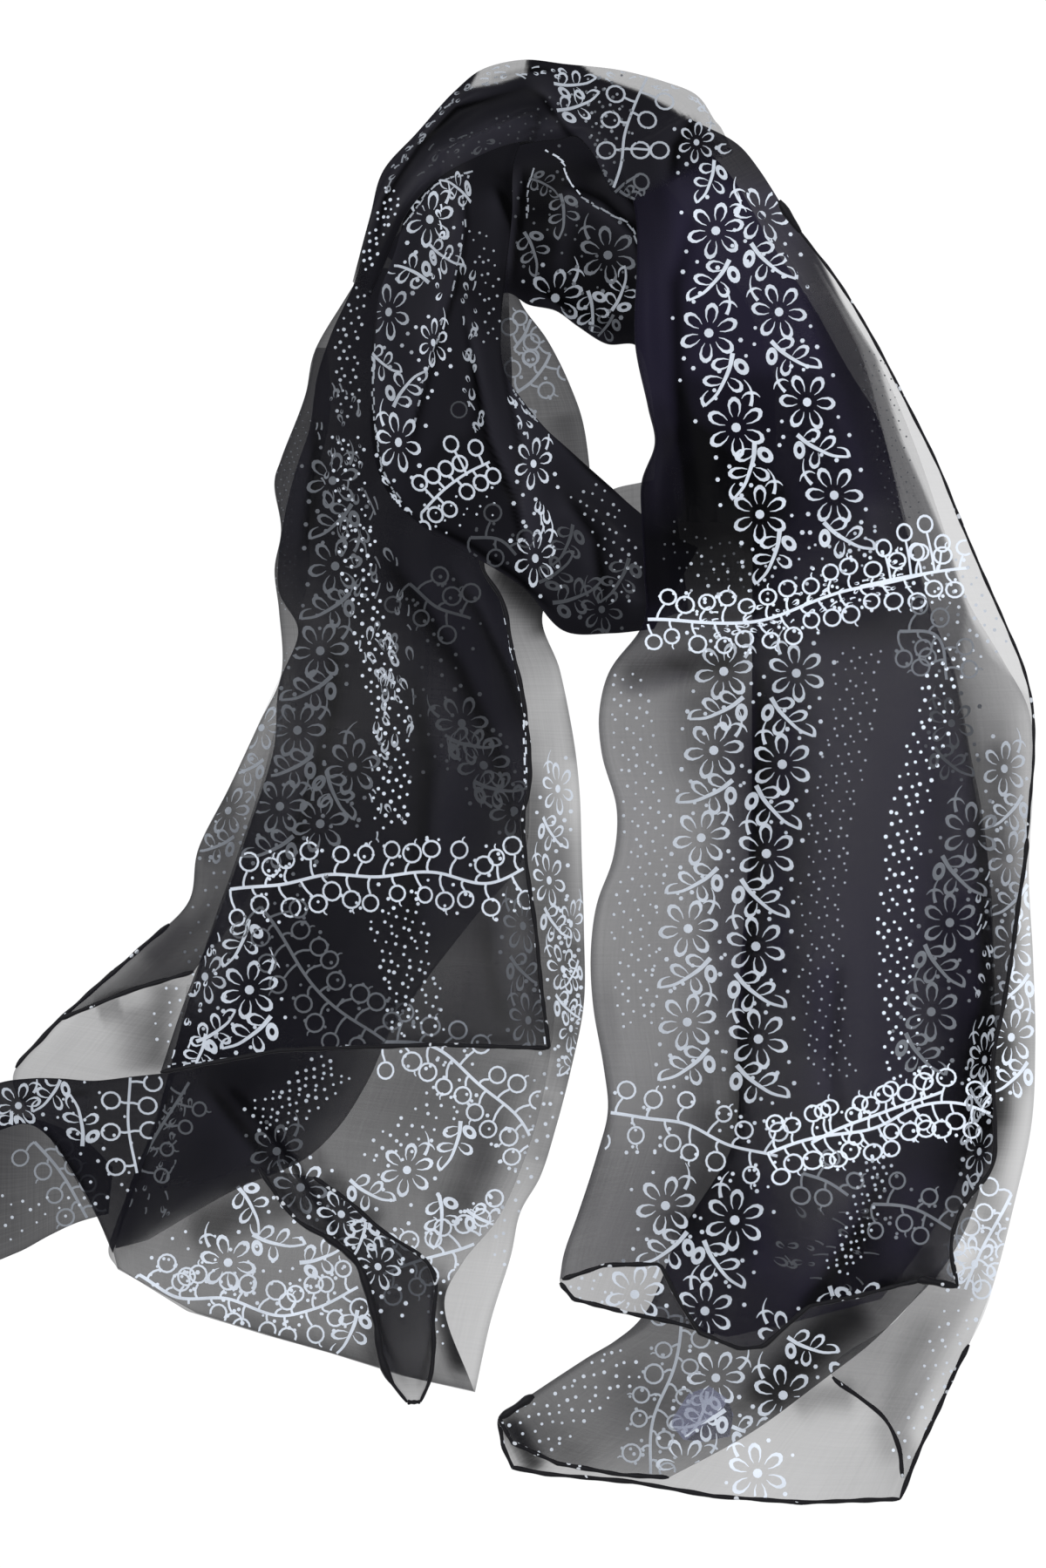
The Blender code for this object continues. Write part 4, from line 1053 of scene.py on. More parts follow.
class Motif:
    """Flat shapes in a motif's own units, as points and faces."""

    def __init__(self):
        self.points, self.tones, self.faces, self.count, self.tone = [], [], [], 0, 1.0

    def add(self, points, faces):
        self.points.append(points)
        self.tones.append(np.full(len(points), self.tone))
        self.faces += [tuple(index + self.count for index in face) for face in faces]
        self.count += len(points)

    def ribbon(self, middle, outward, thick):
        """A ribbon along the middle, as thick as given across it."""
        away = np.reshape(thick, (-1, 1)) / 2 * outward
        self.add(np.concatenate([middle + away, middle - away]), strip_faces(len(middle)))

    def leaf(self, root, tip, half, line):
        """A leaf or petal: a loop that is open at its root, its line thickest at the tip."""
        root, tip = np.array(root, float), np.array(tip, float)
        long = np.hypot(*(tip - root))
        ahead = (tip - root) / long
        side = np.array((-ahead[1], ahead[0]))
        turn = np.radians(np.linspace(-152, 152, 10))
        beyond = np.cos(turn) > 0
        reach = np.where(beyond, 0.42 * long - line / 2, 0.56 * long) * np.cos(turn)
        width = half * np.sign(turn) * np.abs(np.sin(turn)) ** np.where(beyond, 1.3, 1.0)
        middle = root + (0.58 * long + reach)[:, None] * ahead + width[:, None] * side
        outward = np.cos(turn)[:, None] * ahead + np.sin(turn)[:, None] * side
        self.ribbon(middle, outward, line * (0.12 + 0.88 * np.cos(turn / 1.9) ** 2))

    def ring(self, centre, radius, line, along=(1.0, 0.0), stretch=1.0):
        """A ring, stretched along the given way."""
        t = np.linspace(0, 2 * np.pi, 14, endpoint=False)
        along = np.array(along, float)
        across = np.array((-along[1], along[0]))
        circle = stretch * np.cos(t)[:, None] * along + np.sin(t)[:, None] * across
        loops = [np.array(centre) + r * circle for r in (radius, radius - line)]
        self.add(np.concatenate(loops), ring_faces(len(t)))

    def dot(self, centre, radius, sides=6):
        t = np.linspace(0, 2 * np.pi, sides, endpoint=False)
        circle = np.stack([np.cos(t), np.sin(t)], 1)
        self.add(np.array(centre) + radius * circle, [tuple(range(sides))])

    def stroke(self, line, start, end):
        """A ribbon along the line, from its start width to its end width."""
        line = np.array(line, float)
        self.ribbon(line, directions(line)[1], np.linspace(start, end, len(line)))

    def placed(self, motif, centre, scale, angle, flip=False, squeeze=1.0):
        """The motif, squeezed, mirrored, turned and moved to the centre."""
        points = np.concatenate(motif.points) * (-squeeze if flip else squeeze, 1)
        faces = [face[::-1] for face in motif.faces] if flip else motif.faces
        self.add(np.array(centre) + scale * turned(points, angle), faces)


def flower():
    """Open petals round a solid centre, one unit in radius."""
    made = Motif()
    for k in range(PETALS):
        a = 2 * math.pi * (k + 0.3) / PETALS
        way = np.array((math.cos(a), math.sin(a)))
        made.leaf(0.3 * way, 1.04 * way, 0.185, 0.15)
    made.dot((0, 0), 0.16, 10)
    return made


def twig():
    """A forked curl that grows out of one petal."""
    made = Motif()
    made.stroke(arc((0.68, 1.46), (0.96, 1.02), (0.66, 0.56), 7), 0.02, 0.13)
    made.stroke(arc((0.82, 0.96), (0.62, 1.08), (0.44, 0.88), 5), 0.12, 0.02)
    made.stroke(arc((0.80, 0.96), (0.94, 0.98), (1.04, 0.76), 5), 0.12, 0.02)
    return made


def sprig():
    """A stem, thick at its top and hooked at its foot, with open leaves on both sides."""
    made = Motif()
    stem = ((0.74, 0.64), (0.44, 0.28), (0.02, -0.06), (-0.42, -0.34), (-0.94, -0.48))
    made.stroke(curve(stem, 12), 0.16, 0.08)
    made.stroke(arc((-0.94, -0.49), (-1.04, -0.16), (-0.60, -0.08), 7), 0.15, 0.02)
    made.leaf((0.56, 0.42), (-0.12, 0.60), 0.18, 0.14)
    made.leaf((0.04, -0.04), (-0.62, 0.30), 0.16, 0.14)
    made.leaf((0.18, -0.04), (0.42, -0.64), 0.17, 0.14)
    made.ring((0.78, 0.10), 0.22, 0.13, (0.18, -0.98), 1.45)
    return made


PETALS = 6
FLOWER, TWIG, SPRIG = flower(), twig(), sprig()
FLOWER_RADIUS = 13.3             # mm, as all below
FLOWER_PITCH = 41.0
RING_RADIUS = 4.5
BERRY_REACH = (13.0, 9.0, 11.5)  # from a branch's stem to its rings, in turn
STEM_WAVE = 11.0                 # a stem's waves are two pi times this long
STEM_SWING = 1.3                 # and swing this far to each side
INK_LINE = 1.3
# Dots beside a flower, in its radii.
FLOWER_DOTS = (
    (-0.4, 1.15), (-1.2, 0.6), (-0.95, -0.75), (-0.6, -1.15), (-1.1, -1.5), (1.05, -0.35),
    (0.0, -1.95), (-0.45, -2.2), (1.2, -0.95), (0.2, -1.3),
)


# ---------------------------------------------------------------- what the print is drawn with
def flowers(ink, places, flip, scale, squeeze, seed, end_sprig=True, lean=0.0):
    """Flowers at the places, a sprig after each, twigs and dots beside them."""
    rng = np.random.default_rng(seed)
    places = mm(places)
    last = len(places) - 1
    sides = (-squeeze if flip else squeeze, 1)
    for k, here in enumerate(places):
        after, before = places[min(k + 1, last)], places[max(k - 1, 0)]
        step = after - before if last else np.array((0.0, -1.0))
        step = step / np.hypot(*step)
        angle = math.atan2(step[1], step[0]) + math.pi / 2
        r = FLOWER_RADIUS * scale * rng.uniform(0.96, 1.04)
        ink.placed(FLOWER, here, r, angle + rng.uniform(-0.08, 0.08), flip, squeeze)
        ink.placed(TWIG, here, r, angle, flip, squeeze)
        for away in FLOWER_DOTS:
            spot = np.array(away) * sides * r + rng.uniform(-0.8, 0.8, 2)
            ink.dot(here + turned(spot, angle), rng.uniform(0.85, 1.15))
        if k < last:
            turn = angle + lean + rng.uniform(-0.1, 0.1)
            ink.placed(SPRIG, (here + after) / 2, r, turn, flip, squeeze)
        elif end_sprig:
            foot = here + FLOWER_PITCH * scale / 2 * step
            ink.placed(SPRIG, foot, r, angle + lean, flip, squeeze)


def sprigs(ink, places, size=12.0):
    """Sprigs at the places: x and y in photo pixels, turn in radians, mirrored, squeeze."""
    for x, y, turn, flip, squeeze in places:
        ink.placed(SPRIG, mm((x, y)), size, turn, flip, squeeze)


def branch(ink, guide, pitch, spread, seed, dotted=True, scale=1.0, squeeze=1.0):
    """A wavy stem with curved side stems that each end in a ring, and dots between them."""
    rng = np.random.default_rng(seed)
    points = mm(guide)
    length = length_of(points)
    stem = curve(points, max(6, int(length / 2)))
    ahead, across = directions(stem)
    waves = np.sin(np.arange(len(stem)) * (length / (len(stem) - 1)) / STEM_WAVE)
    stem = stem + across * (STEM_SWING * waves)[:, None]
    ink.stroke(stem, INK_LINE * 1.15, INK_LINE)
    count = max(2, int(length / pitch))
    for side in (1, -1):
        for k in range(count):
            i = int((k + 0.35 + 0.25 * side) / count * (len(stem) - 1))
            reach = BERRY_REACH[k % 3] * spread
            berry(ink, rng, stem[i], ahead[i], side * across[i], reach, scale, squeeze, k % 2)
    if dotted:
        for _ in range(int(length * BRANCH_DOTS)):
            i = rng.integers(len(stem))
            away = rng.uniform(3, 18) * rng.choice((-1, 1)) * spread
            ink.dot(stem[i] + across[i] * away, rng.uniform(0.7, 1.0))


def berry(ink, rng, root, ahead, outward, reach, scale, squeeze, tailed):
    """A ring on a curved stalk from the root, some with a short tail."""
    far = reach * rng.uniform(0.93, 1.07)
    centre = root + outward * far + ahead * rng.uniform(1.5, 4.0)
    radius = RING_RADIUS * scale * rng.uniform(0.9, 1.06)
    out = (centre - root) / np.hypot(*(centre - root))
    foot = centre - out * radius
    bend = (root + foot) / 2 - ahead * rng.uniform(0.5, 2.5)
    ink.stroke(arc(root, bend, foot, 4), INK_LINE * 0.85, INK_LINE * 0.75)
    ink.ring(centre, radius, INK_LINE * 0.76, ahead, squeeze * rng.uniform(0.92, 1.05))
    if tailed:
        tail = centre + out * radius
        ink.stroke([tail, tail + outward, tail + outward * 2 + ahead * 0.8], 0.8, 0.5)


def berries(ink, stem, rings, radius, line=1.0):
    """A stem with a ring at each place, in photo pixels, on a short stalk from the stem."""
    stem = curve(mm(stem), 24)
    ink.stroke(stem, line * 1.3, line * 1.2)
    for place in mm(rings):
        root = stem[np.hypot(*(stem - place).T).argmin()]
        out = (place - root) / max(np.hypot(*(place - root)), 0.1)
        foot = place - out * radius
        ink.stroke([root, (root + foot) / 2 + 0.3 * out[::-1], foot], line * 1.1, line)
        ink.ring(place, radius, line, out, 1.12)


def lone_ring(ink, place, radius, line):
    ink.ring(mm(place), radius, line)


def area(ink, outline):
    ink.add(mm(outline), [tuple(range(len(outline)))])


def guide_line(guide, count):
    """A smooth line of count points along the guide, the way along it and the way across it."""
    line = curve(mm(guide), count)
    return (line, *directions(line))


def dots(ink, guide, width, count, radius, seed):
    """Loose rows of dots along the guide."""
    rng = np.random.default_rng(seed)
    line, _, across = guide_line(guide, FINE_STEPS)
    for k in range(count):
        share = (k + rng.uniform(-0.9, 0.9)) / count
        i = min(FINE_STEPS - 1, int(share * FINE_STEPS))
        lane = (k * GOLDEN + rng.uniform(-0.06, 0.06)) % 1 - 0.5
        place = line[max(i, 0)] + across[i] * lane * width * PIXEL
        ink.dot(place, radius * rng.uniform(0.75, 1.2), 7)


def scatter(ink, guide, width, count, size, seed):
    """Leaves and strokes thrown along a fold, as where the print runs into its pleats."""
    rng = np.random.default_rng(seed)
    line, ahead, across = guide_line(guide, COARSE_STEPS)
    for k in range(count):
        i = min(COARSE_STEPS - 1, int((k + rng.uniform(0, 1)) / count * COARSE_STEPS))
        root = line[i] + across[i] * rng.uniform(-0.5, 0.5) * width * PIXEL
        way = ahead[i] * rng.choice((-1, 1)) + across[i] * rng.uniform(-0.55, 0.55)
        way /= np.hypot(*way)
        long = size * rng.uniform(0.5, 1.3)
        if rng.uniform() < LEAVES:
            ink.leaf(root, root + way * long, 0.2 * long, min(1.5, 0.3 * long))
        else:
            bend = root + way * long * 0.5 + across[i] * 0.5
            ink.stroke(arc(root, bend, root + way * long, 4), 0.9, 0.5)


def flecks(ink, guide, count, width, seed):
    """Short bright strokes along a hem or a sharp pleat."""
    rng = np.random.default_rng(seed)
    line, ahead, across = guide_line(guide, FINE_STEPS)
    for k in range(count):
        i = min(FINE_STEPS - 1, int((k + rng.uniform(0, 0.9)) / count * FINE_STEPS))
        root = line[i] + across[i] * rng.uniform(-0.5, 0.5) * width * PIXEL
        step = rng.uniform(1.2, 3.6) * ahead[i]
        ink.stroke([root, root + 0.5 * step, root + step],
                   rng.uniform(0.6, 1.1), rng.uniform(0.4, 0.9))


def drawn(rows):
    """The shapes of a table of the print."""
    ink = Motif()
    for tone, draw, *settings in rows:
        ink.tone = tone
        draw(ink, *settings)
    return ink


def print_object(name, rows, leaf, lift=INK_LIFT, material=INK):
    """Lays the table's shapes on the leaf, and drops what falls past its edges."""
    ink = drawn(rows)
    tree = leaf.tree()
    plan = np.concatenate(ink.points)
    points = np.empty((len(plan), 3))
    found = np.zeros(len(plan), bool)
    for i, place in enumerate((plan + SHIFT) * MM):
        hit = tree.ray_cast(Vector((*place, RAY_HEIGHT * MM)), Vector((0, 0, -1)))[0]
        if hit:
            points[i] = hit
            found[i] = True
    points[:, 2] += lift * MM
    faces = [face for face in ink.faces if found[list(face)].all()]
    used = np.unique(np.concatenate([np.array(face) for face in faces]))
    renumbered = np.zeros(len(plan), int)
    renumbered[used] = np.arange(len(used))
    faces = [tuple(int(renumbered[index]) for index in face) for face in faces]
    thing = new_object(name, points[used], faces, material)
    store(thing, "tone", np.concatenate(ink.tones)[used])
    return thing


# ---------------------------------------------------------------- the print's layout
# Each row: tone, what is drawn, its places in photo pixels, and its settings in the order
# of that function's arguments. The tone is lower for print under other layers, and is also set
# darker and lighter as painted shade and highlights on the print.
PRINT_GROUND = (
    (0.92, flowers, ((640, 905), (630, 1010), (646, 1112)), True, 0.9, 0.6, 1),
    (0.92, flowers, ((655, 1060), (655, 1180)), False, 0.8, 0.5, 101),
    (0.75, flowers, ((300, 835), (262, 930)), False, 0.85, 0.8, 2),
    (0.62, branch, ((586, 455), (612, 440), (628, 420), (636, 396)), 8.5, 0.85, 3, True, 0.95),
    (0.62, branch, ((590, 400), (604, 385), (612, 368)), 8, 0.6, 4, False, 0.9),
    (0.9, dots, ((270, 930), (255, 1020), (230, 1120), (185, 1200)), 60, 70, 0.7, 5),
    (0.9, dots, ((640, 1200), (615, 1330), (570, 1450)), 45, 50, 0.8, 6),
    (0.6, dots, ((345, 470), (322, 560), (325, 640), (330, 700)), 30, 120, 0.35, 7),
    (0.6, dots, ((325, 740), (320, 800), (318, 860)), 30, 80, 0.35, 8),
)
PRINT_CORNER_UNDER = (
    (0.6, branch, ((40, 1310), (70, 1350), (105, 1400)), 11, 0.7, 8, False),
    (0.85, dots, ((0, 1400), (60, 1400), (110, 1385)), 60, 24, 0.7, 9),
)
PRINT_SECOND = (
    (0.95, branch, ((440, 1195), (500, 1205), (550, 1240), (592, 1280), (618, 1338)), 10, 1.0, 10),
    (0.95, branch, ((590, 1392), (545, 1423), (484, 1448), (440, 1462)), 9, 0.9, 13),
    (0.95, branch, ((160, 1462), (200, 1490), (262, 1487), (330, 1510), (368, 1502), (410, 1475)),
     9, 0.85, 14),
    (0.95, flowers, ((467, 1342),), False, 0.95, 1, 11, False),
    (0.95, flowers, ((345, 1362),), True, 0.95, 1, 12, False),
    (0.95, flowers, ((262, 1448),), True, 0.95, 1, 15, False),
    (0.95, sprigs, ((521, 1314, 0.6, False, 1), (288, 1386, 1.4, False, 1),
                    (318, 1425, 0.4, True, 1), (505, 1400, 0.9, False, 1),
                    (560, 1400, 0.3, True, 0.9), (372, 1440, 1.0, True, 1),
                    (425, 1368, 0.2, True, 0.9), (400, 1530, 0.5, False, 1))),
    (0.95, dots, ((530, 1240), (490, 1290), (420, 1330)), 50, 36, 0.8, 18),
    (0.95, dots, ((500, 1470), (520, 1540)), 40, 20, 0.75, 19),
    (0.95, dots, ((180, 1440), (280, 1470), (400, 1470)), 90, 50, 0.8, 105),
)
PRINT_MIDDLE = (
    (0.8, dots, ((385, 1220), (340, 1262), (290, 1290)), 50, 64, 0.8, 22),
    (0.36, scatter, ((205, 1250), (180, 1300), (165, 1390)), 60, 60, 3.5, 23),
    (0.36, branch, ((160, 1340), (190, 1290), (215, 1240)), 11, 0.8, 24, False, 0.85),
    (0.36, flowers, ((318, 1320),), False, 0.9, 1, 21, False),
)
PRINT_CORNER_UPPER = (
    (0.82, berries, ((150, 1236), (148, 1290), (158, 1345)),
     ((176, 1242), (128, 1262), (170, 1268), (128, 1298), (172, 1296), (134, 1338)), 4.2),
    (0.82, flowers, ((22, 1268),), False, 0.8, 1, 25, False),
    (0.82, sprigs, ((92, 1285, 2.4, True, 1), (58, 1256, 0.2, False, 0.8),
                    (10, 1300, 0.6, False, 0.8))),
    (0.82, dots, ((75, 1250), (110, 1290), (140, 1380)), 70, 30, 0.8, 107),
)
PRINT_TIE = (
    (0.9, flowers, ((392, 1392), (434, 1452)), False, 0.85, 0.9, 28, False),
    (0.9, scatter, ((370, 1380), (420, 1400), (470, 1440)), 26, 12, 4, 29),
)
PRINT_BACK_INNER = (
    (0.66, flowers, ((637, 343),), False, 0.98, 1, 30, False),
    (0.66, sprigs, ((678, 362, 1.0, False, 1), (712, 335, 1.9, True, 0.9)), 11),
    (0.44, flowers, ((697, 295),), True, 0.95, 1, 31, False),
    (0.44, sprigs, ((611, 292, 1.2, False, 0.9), (645, 250, 0.9, False, 0.9)), 11),
    (0.35, sprigs, ((625, 215, 1.9, False, 0.8), (690, 380, 0.2, False, 1)), 9),
    (0.35, dots, ((610, 200), (640, 290), (690, 340)), 90, 40, 0.7, 35),
    (0.9, flecks, ((625, 174), (645, 188), (652, 208), (662, 221)), 11, 2, 34),
    (0.6, flecks, ((665, 228), (699, 248), (719, 258), (730, 278), (734, 298)), 26, 2, 33),
    (0.6, flecks, ((613, 194), (606, 218), (605, 250)), 10, 2, 36),
)
PRINT_LEFT_PANEL = (
    (0.94, branch, ((265, 1020), (320, 1018), (380, 1000), (440, 1006), (500, 1003), (560, 1010),
                    (610, 992)), 10.5, 0.95, 36),
    (0.95, dots, ((408, 600), (412, 650), (425, 740), (445, 800), (450, 870), (448, 950)), 42, 130,
     0.85, 37),
    (0.88, dots, ((400, 500), (404, 560), (408, 610)), 40, 36, 0.75, 50),
    (0.88, dots, ((450, 1045), (468, 1110), (480, 1190)), 66, 84, 0.8, 38),
    (0.88, flowers, ((287, 1135),), False, 1.0, 1, 39),
    (0.88, sprigs, ((276, 1082, 0.5, False, 1), (250, 1180, 1.3, True, 0.9),
                    (228, 1210, 0.4, False, 0.8))),
    (0.88, scatter, ((250, 1070), (235, 1130), (205, 1210)), 26, 12, 4, 40),
    (0.75, scatter, ((425, 860), (440, 900), (450, 960)), 40, 12, 4, 41),
    (0.75, scatter, ((432, 728), (442, 770), (452, 812), (456, 848)), 44, 34, 6, 123),
    (0.75, flowers, ((236, 1120),), True, 0.9, 0.8, 108, False),
    (0.75, dots, ((412, 330), (400, 380), (398, 430), (400, 480)), 30, 44, 0.75, 51),
    (0.95, flecks, ((556, 650), (576, 688), (586, 744), (598, 799), (603, 900)), 40, 4, 42),
    (0.95, flecks, ((600, 940), (606, 1010), (616, 1090), (626, 1190)), 30, 3, 121),
    (0.8, flecks, ((190, 1222), (255, 1214), (330, 1206), (400, 1200)), 30, 3, 43),
    (0.42, flowers, ((382, 552), (385, 650), (368, 747), (342, 838), (322, 925)), False, 0.98,
     0.95, 44),
    (0.42, flowers, ((405, 880), (368, 945)), True, 0.98, 0.95, 45, False),
    (0.42, scatter, ((440, 640), (450, 720), (460, 800)), 40, 16, 6, 47),
    (0.42, scatter, ((404, 560), (408, 620), (412, 690)), 50, 22, 7, 124),
    (0.27, branch, ((470, 670), (500, 700), (540, 710)), 9, 0.9, 46),
    (0.27, flowers, ((530, 830), (555, 878), (590, 930)), True, 0.95, 0.9, 46, False),
    (0.4, flowers, ((600, 1062), (606, 1170)), True, 0.95, 0.7, 109),
    (0.4, branch, ((300, 1040), (345, 1110), (395, 1160), (440, 1196)), 10, 1.0, 47),
    (0.27, dots, ((540, 700), (500, 780), (500, 900)), 60, 30, 0.8, 110),
    (0.5, scatter, ((385, 440), (390, 500), (395, 560)), 50, 30, 4, 48),
)
PRINT_CROSSING = (
    (0.82, flowers, ((494, 257),), False, 0.98, 0.85, 49, False),
    (0.7, flowers, ((447, 362),), True, 1.0, 0.75, 111, False),
    (0.78, sprigs, ((470, 316, 3.4, True, 0.85), (468, 448, 3.3, False, 0.85),
                    (524, 222, 3.4, True, 0.55), (512, 300, 0.3, True, 0.6),
                    (442, 420, 0.2, True, 0.6))),
    (0.92, flowers, ((498, 398),), False, 0.85, 0.6, 112, False),
    (0.92, flowers, ((458, 510),), True, 1.0, 0.75, 50, False),
    (0.92, scatter, ((436, 540), (450, 570), (474, 596)), 14, 14, 4.5, 52),
    (0.92, scatter, ((512, 240), (508, 300), (500, 350)), 16, 10, 4.0, 113),
    (0.9, berries, ((484, 590), (512, 562), (536, 545), (562, 532)),
     ((482, 556), (497, 548), (518, 512), (512, 540), (528, 534), (546, 516), (552, 556),
      (536, 566), (500, 592), (516, 586), (566, 548), (486, 608)), 3.7),
    (0.9, dots, ((490, 600), (530, 575), (570, 560)), 60, 26, 0.6, 53),
    (0.9, flowers, ((612, 534),), False, 0.92, 0.72, 54, False),
    (0.9, flowers, ((614, 642),), False, 0.95, 0.75, 55, False),
    (0.9, scatter, ((588, 450), (604, 500)), 14, 8, 5, 56),
    (0.9, scatter, ((618, 572), (620, 606)), 16, 6, 7, 57),
    (0.7, scatter, ((538, 312), (538, 400), (546, 470), (552, 500)), 18, 26, 4.6, 58),
    (0.7, flecks, ((464, 580), (444, 552), (434, 512), (429, 460), (430, 404)), 26, 2, 59),
    (0.7, flecks, ((540, 205), (532, 240), (533, 270), (528, 300), (516, 350)), 16, 3, 60),
    (0.7, flecks, ((508, 368), (500, 404), (486, 444), (476, 484)), 12, 3, 61),
    (0.7, flecks, ((440, 305), (455, 275), (476, 246), (497, 220), (540, 203)), 22, 2, 62),
    (0.7, flecks, ((582, 436), (600, 468), (628, 492)), 12, 4, 63),
    (0.7, dots, ((552, 270), (562, 340), (566, 400)), 26, 30, 0.6, 65),
    (0.7, dots, ((672, 560), (700, 610), (725, 690)), 44, 44, 0.7, 66),
    (0.3, branch, ((540, 618), (575, 625), (590, 640)), 9, 0.9, 67),
    (0.3, sprigs, ((648, 628, 0.4, False, 0.8), (662, 684, 1.0, True, 1),
                   (708, 668, 0.4, False, 1), (640, 655, 1.4, True, 0.8))),
    (0.3, flowers, ((690, 700),), True, 0.8, 0.9, 68),
    (0.3, lone_ring, (527, 473), 4.0, 0.8),
)
PRINT_UNDER_LOWER = (
    (1.08, flowers, ((1152, 882), (1158, 985), (1162, 1085), (1160, 1190)), False, 0.95, 0.8, 70),
    (1.05, branch, ((1160, 1370), (1130, 1420), (1110, 1480)), 9, 0.8, 71),
    (1.05, flowers, ((1118, 1450),), True, 1.0, 0.8, 113, False),
    (1.05, flowers, ((869, 1690),), True, 1.0, 1, 72, False),
    (1.05, dots, ((1110, 1500), (1080, 1590), (1050, 1680)), 60, 50, 0.75, 73),
)
PRINT_UNDER_UPPER = (
    (0.88, flowers, ((821, 1580), (785, 1680)), False, 0.98, 1, 78, False),
    (0.88, flowers, ((898, 1600),), True, 1.0, 1, 79, False),
    (0.88, flowers, ((975, 1587),), False, 0.95, 1, 80, False),
    (0.88, sprigs, ((868, 1642, 0.5, True, 1), (803, 1622, 0.5, False, 0.9),
                    (930, 1545, 0.3, True, 1))),
    (0.72, branch, ((782, 1510), (770, 1570), (752, 1630), (745, 1690)), 12, 0.75, 81),
    (0.9, dots, ((720, 1545), (660, 1590), (600, 1650)), 80, 80, 0.8, 82),
)
PRINT_PANEL_LOWER = (
    (0.9, flowers, ((728, 1484),), False, 1.0, 1, 86, False),
    (0.9, dots, ((655, 1470), (690, 1495), (720, 1510)), 40, 20, 0.75, 87),
)
PRINT_PANEL_UPPER = (
    (0.96, flowers, ((820, 268), (812, 385), (843, 493), (870, 592)), False, 1.0, 1, 88, True,
     0.3),
    (0.96, flowers, ((873, 249), (892, 361), (924, 464), (955, 570)), True, 1.0, 0.95, 89, True,
     -0.15),
    (0.96, sprigs, ((812, 212, 0.5, False, 0.8),)),
    (0.86, flowers, ((829, 771), (818, 861), (804, 961), (789, 1065), (788, 1172)), False, 1.0, 1,
     90),
    (0.86, flowers, ((912, 773), (896, 877), (878, 979), (866, 1085), (869, 1191)), True, 1.0, 1,
     91),
    (0.86, flowers, ((763, 1382),), False, 1.0, 1, 92),
    (0.86, flowers, ((842, 1398), (808, 1502)), True, 1.0, 1, 93, False),
    (0.85, flowers, ((901, 1535),), True, 1.0, 1, 94, False),
    (0.85, sprigs, ((955, 1505, 1.0, False, 1), (1010, 1492, 0.3, True, 1)), 13),
    (1.08, branch, ((742, 712), (800, 718), (860, 712), (930, 694), (1000, 672), (1060, 657),
                    (1110, 655)), 10, 0.82, 95, True, 0.92, 1.1),
    (1.08, scatter, ((800, 716), (860, 712), (930, 694), (1000, 672), (1040, 660)), 34, 80, 3.0,
     121),
    (1.08, berries, ((985, 674), (1030, 664), (1075, 656)),
     ((1012, 630), (1036, 612), (1060, 602), (1050, 634), (1080, 624)), 3.9),
    (1.08, branch, ((880, 1322), (950, 1303), (1000, 1290), (1050, 1270), (1100, 1268),
                    (1135, 1276)), 8.5, 0.9, 97, True, 0.95, 1.12),
    (1.1, branch, ((930, 1310), (990, 1285), (1040, 1262), (1080, 1250)), 14, 0.8, 114, False,
     0.85, 1.1),
    (1.1, dots, ((1090, 735), (1075, 800), (1060, 860), (1040, 940), (1027, 1030), (1025, 1110),
                 (1032, 1180), (1040, 1235)), 44, 165, 0.85, 98),
    (0.85, dots, ((780, 665), (860, 660), (960, 640), (1010, 610)), 50, 50, 0.75, 100),
    (0.85, dots, ((1005, 1330), (985, 1400), (960, 1460)), 36, 60, 0.75, 101),
    (0.85, dots, ((712, 770), (730, 880), (742, 960), (728, 1060), (735, 1180)), 52, 140, 0.68,
     84),
    (0.85, dots, ((1080, 640), (1110, 700), (1140, 760)), 50, 30, 0.8, 115),
    (0.72, dots, ((985, 745), (975, 830), (955, 920), (940, 1030), (945, 1150), (955, 1240)), 54,
     190, 0.58, 83),
    (0.72, scatter, ((1120, 1010), (1125, 1150), (1118, 1300)), 24, 26, 5, 116),
    (0.72, flowers, ((1128, 1215), (1122, 1320)), True, 0.9, 0.6, 117),
    (0.52, flowers, ((1112, 955), (1088, 1058), (1067, 1160)), True, 1.0, 0.95, 74),
    (0.52, branch, ((1000, 1380), (1045, 1388), (1090, 1408)), 11, 0.85, 77),
    (0.52, branch, ((920, 1345), (945, 1356), (970, 1372)), 11, 0.8, 122, False, 0.95, 1.1),
    (0.92, branch, ((690, 1275), (740, 1285), (790, 1288), (840, 1312), (890, 1328)), 12, 0.95,
     85),
    (0.52, branch, ((1030, 725), (1070, 732), (1085, 780)), 9, 0.9, 76),
    (0.32, flowers, ((1090, 830),), True, 0.9, 0.9, 75),
    (0.32, scatter, ((900, 1400), (940, 1420), (1000, 1440)), 90, 24, 6, 119),
    (0.32, dots, ((1000, 400), (1018, 500), (1040, 600)), 40, 90, 0.4, 99),
    (0.32, dots, ((760, 620), (800, 640), (860, 655)), 50, 30, 0.6, 120),
)
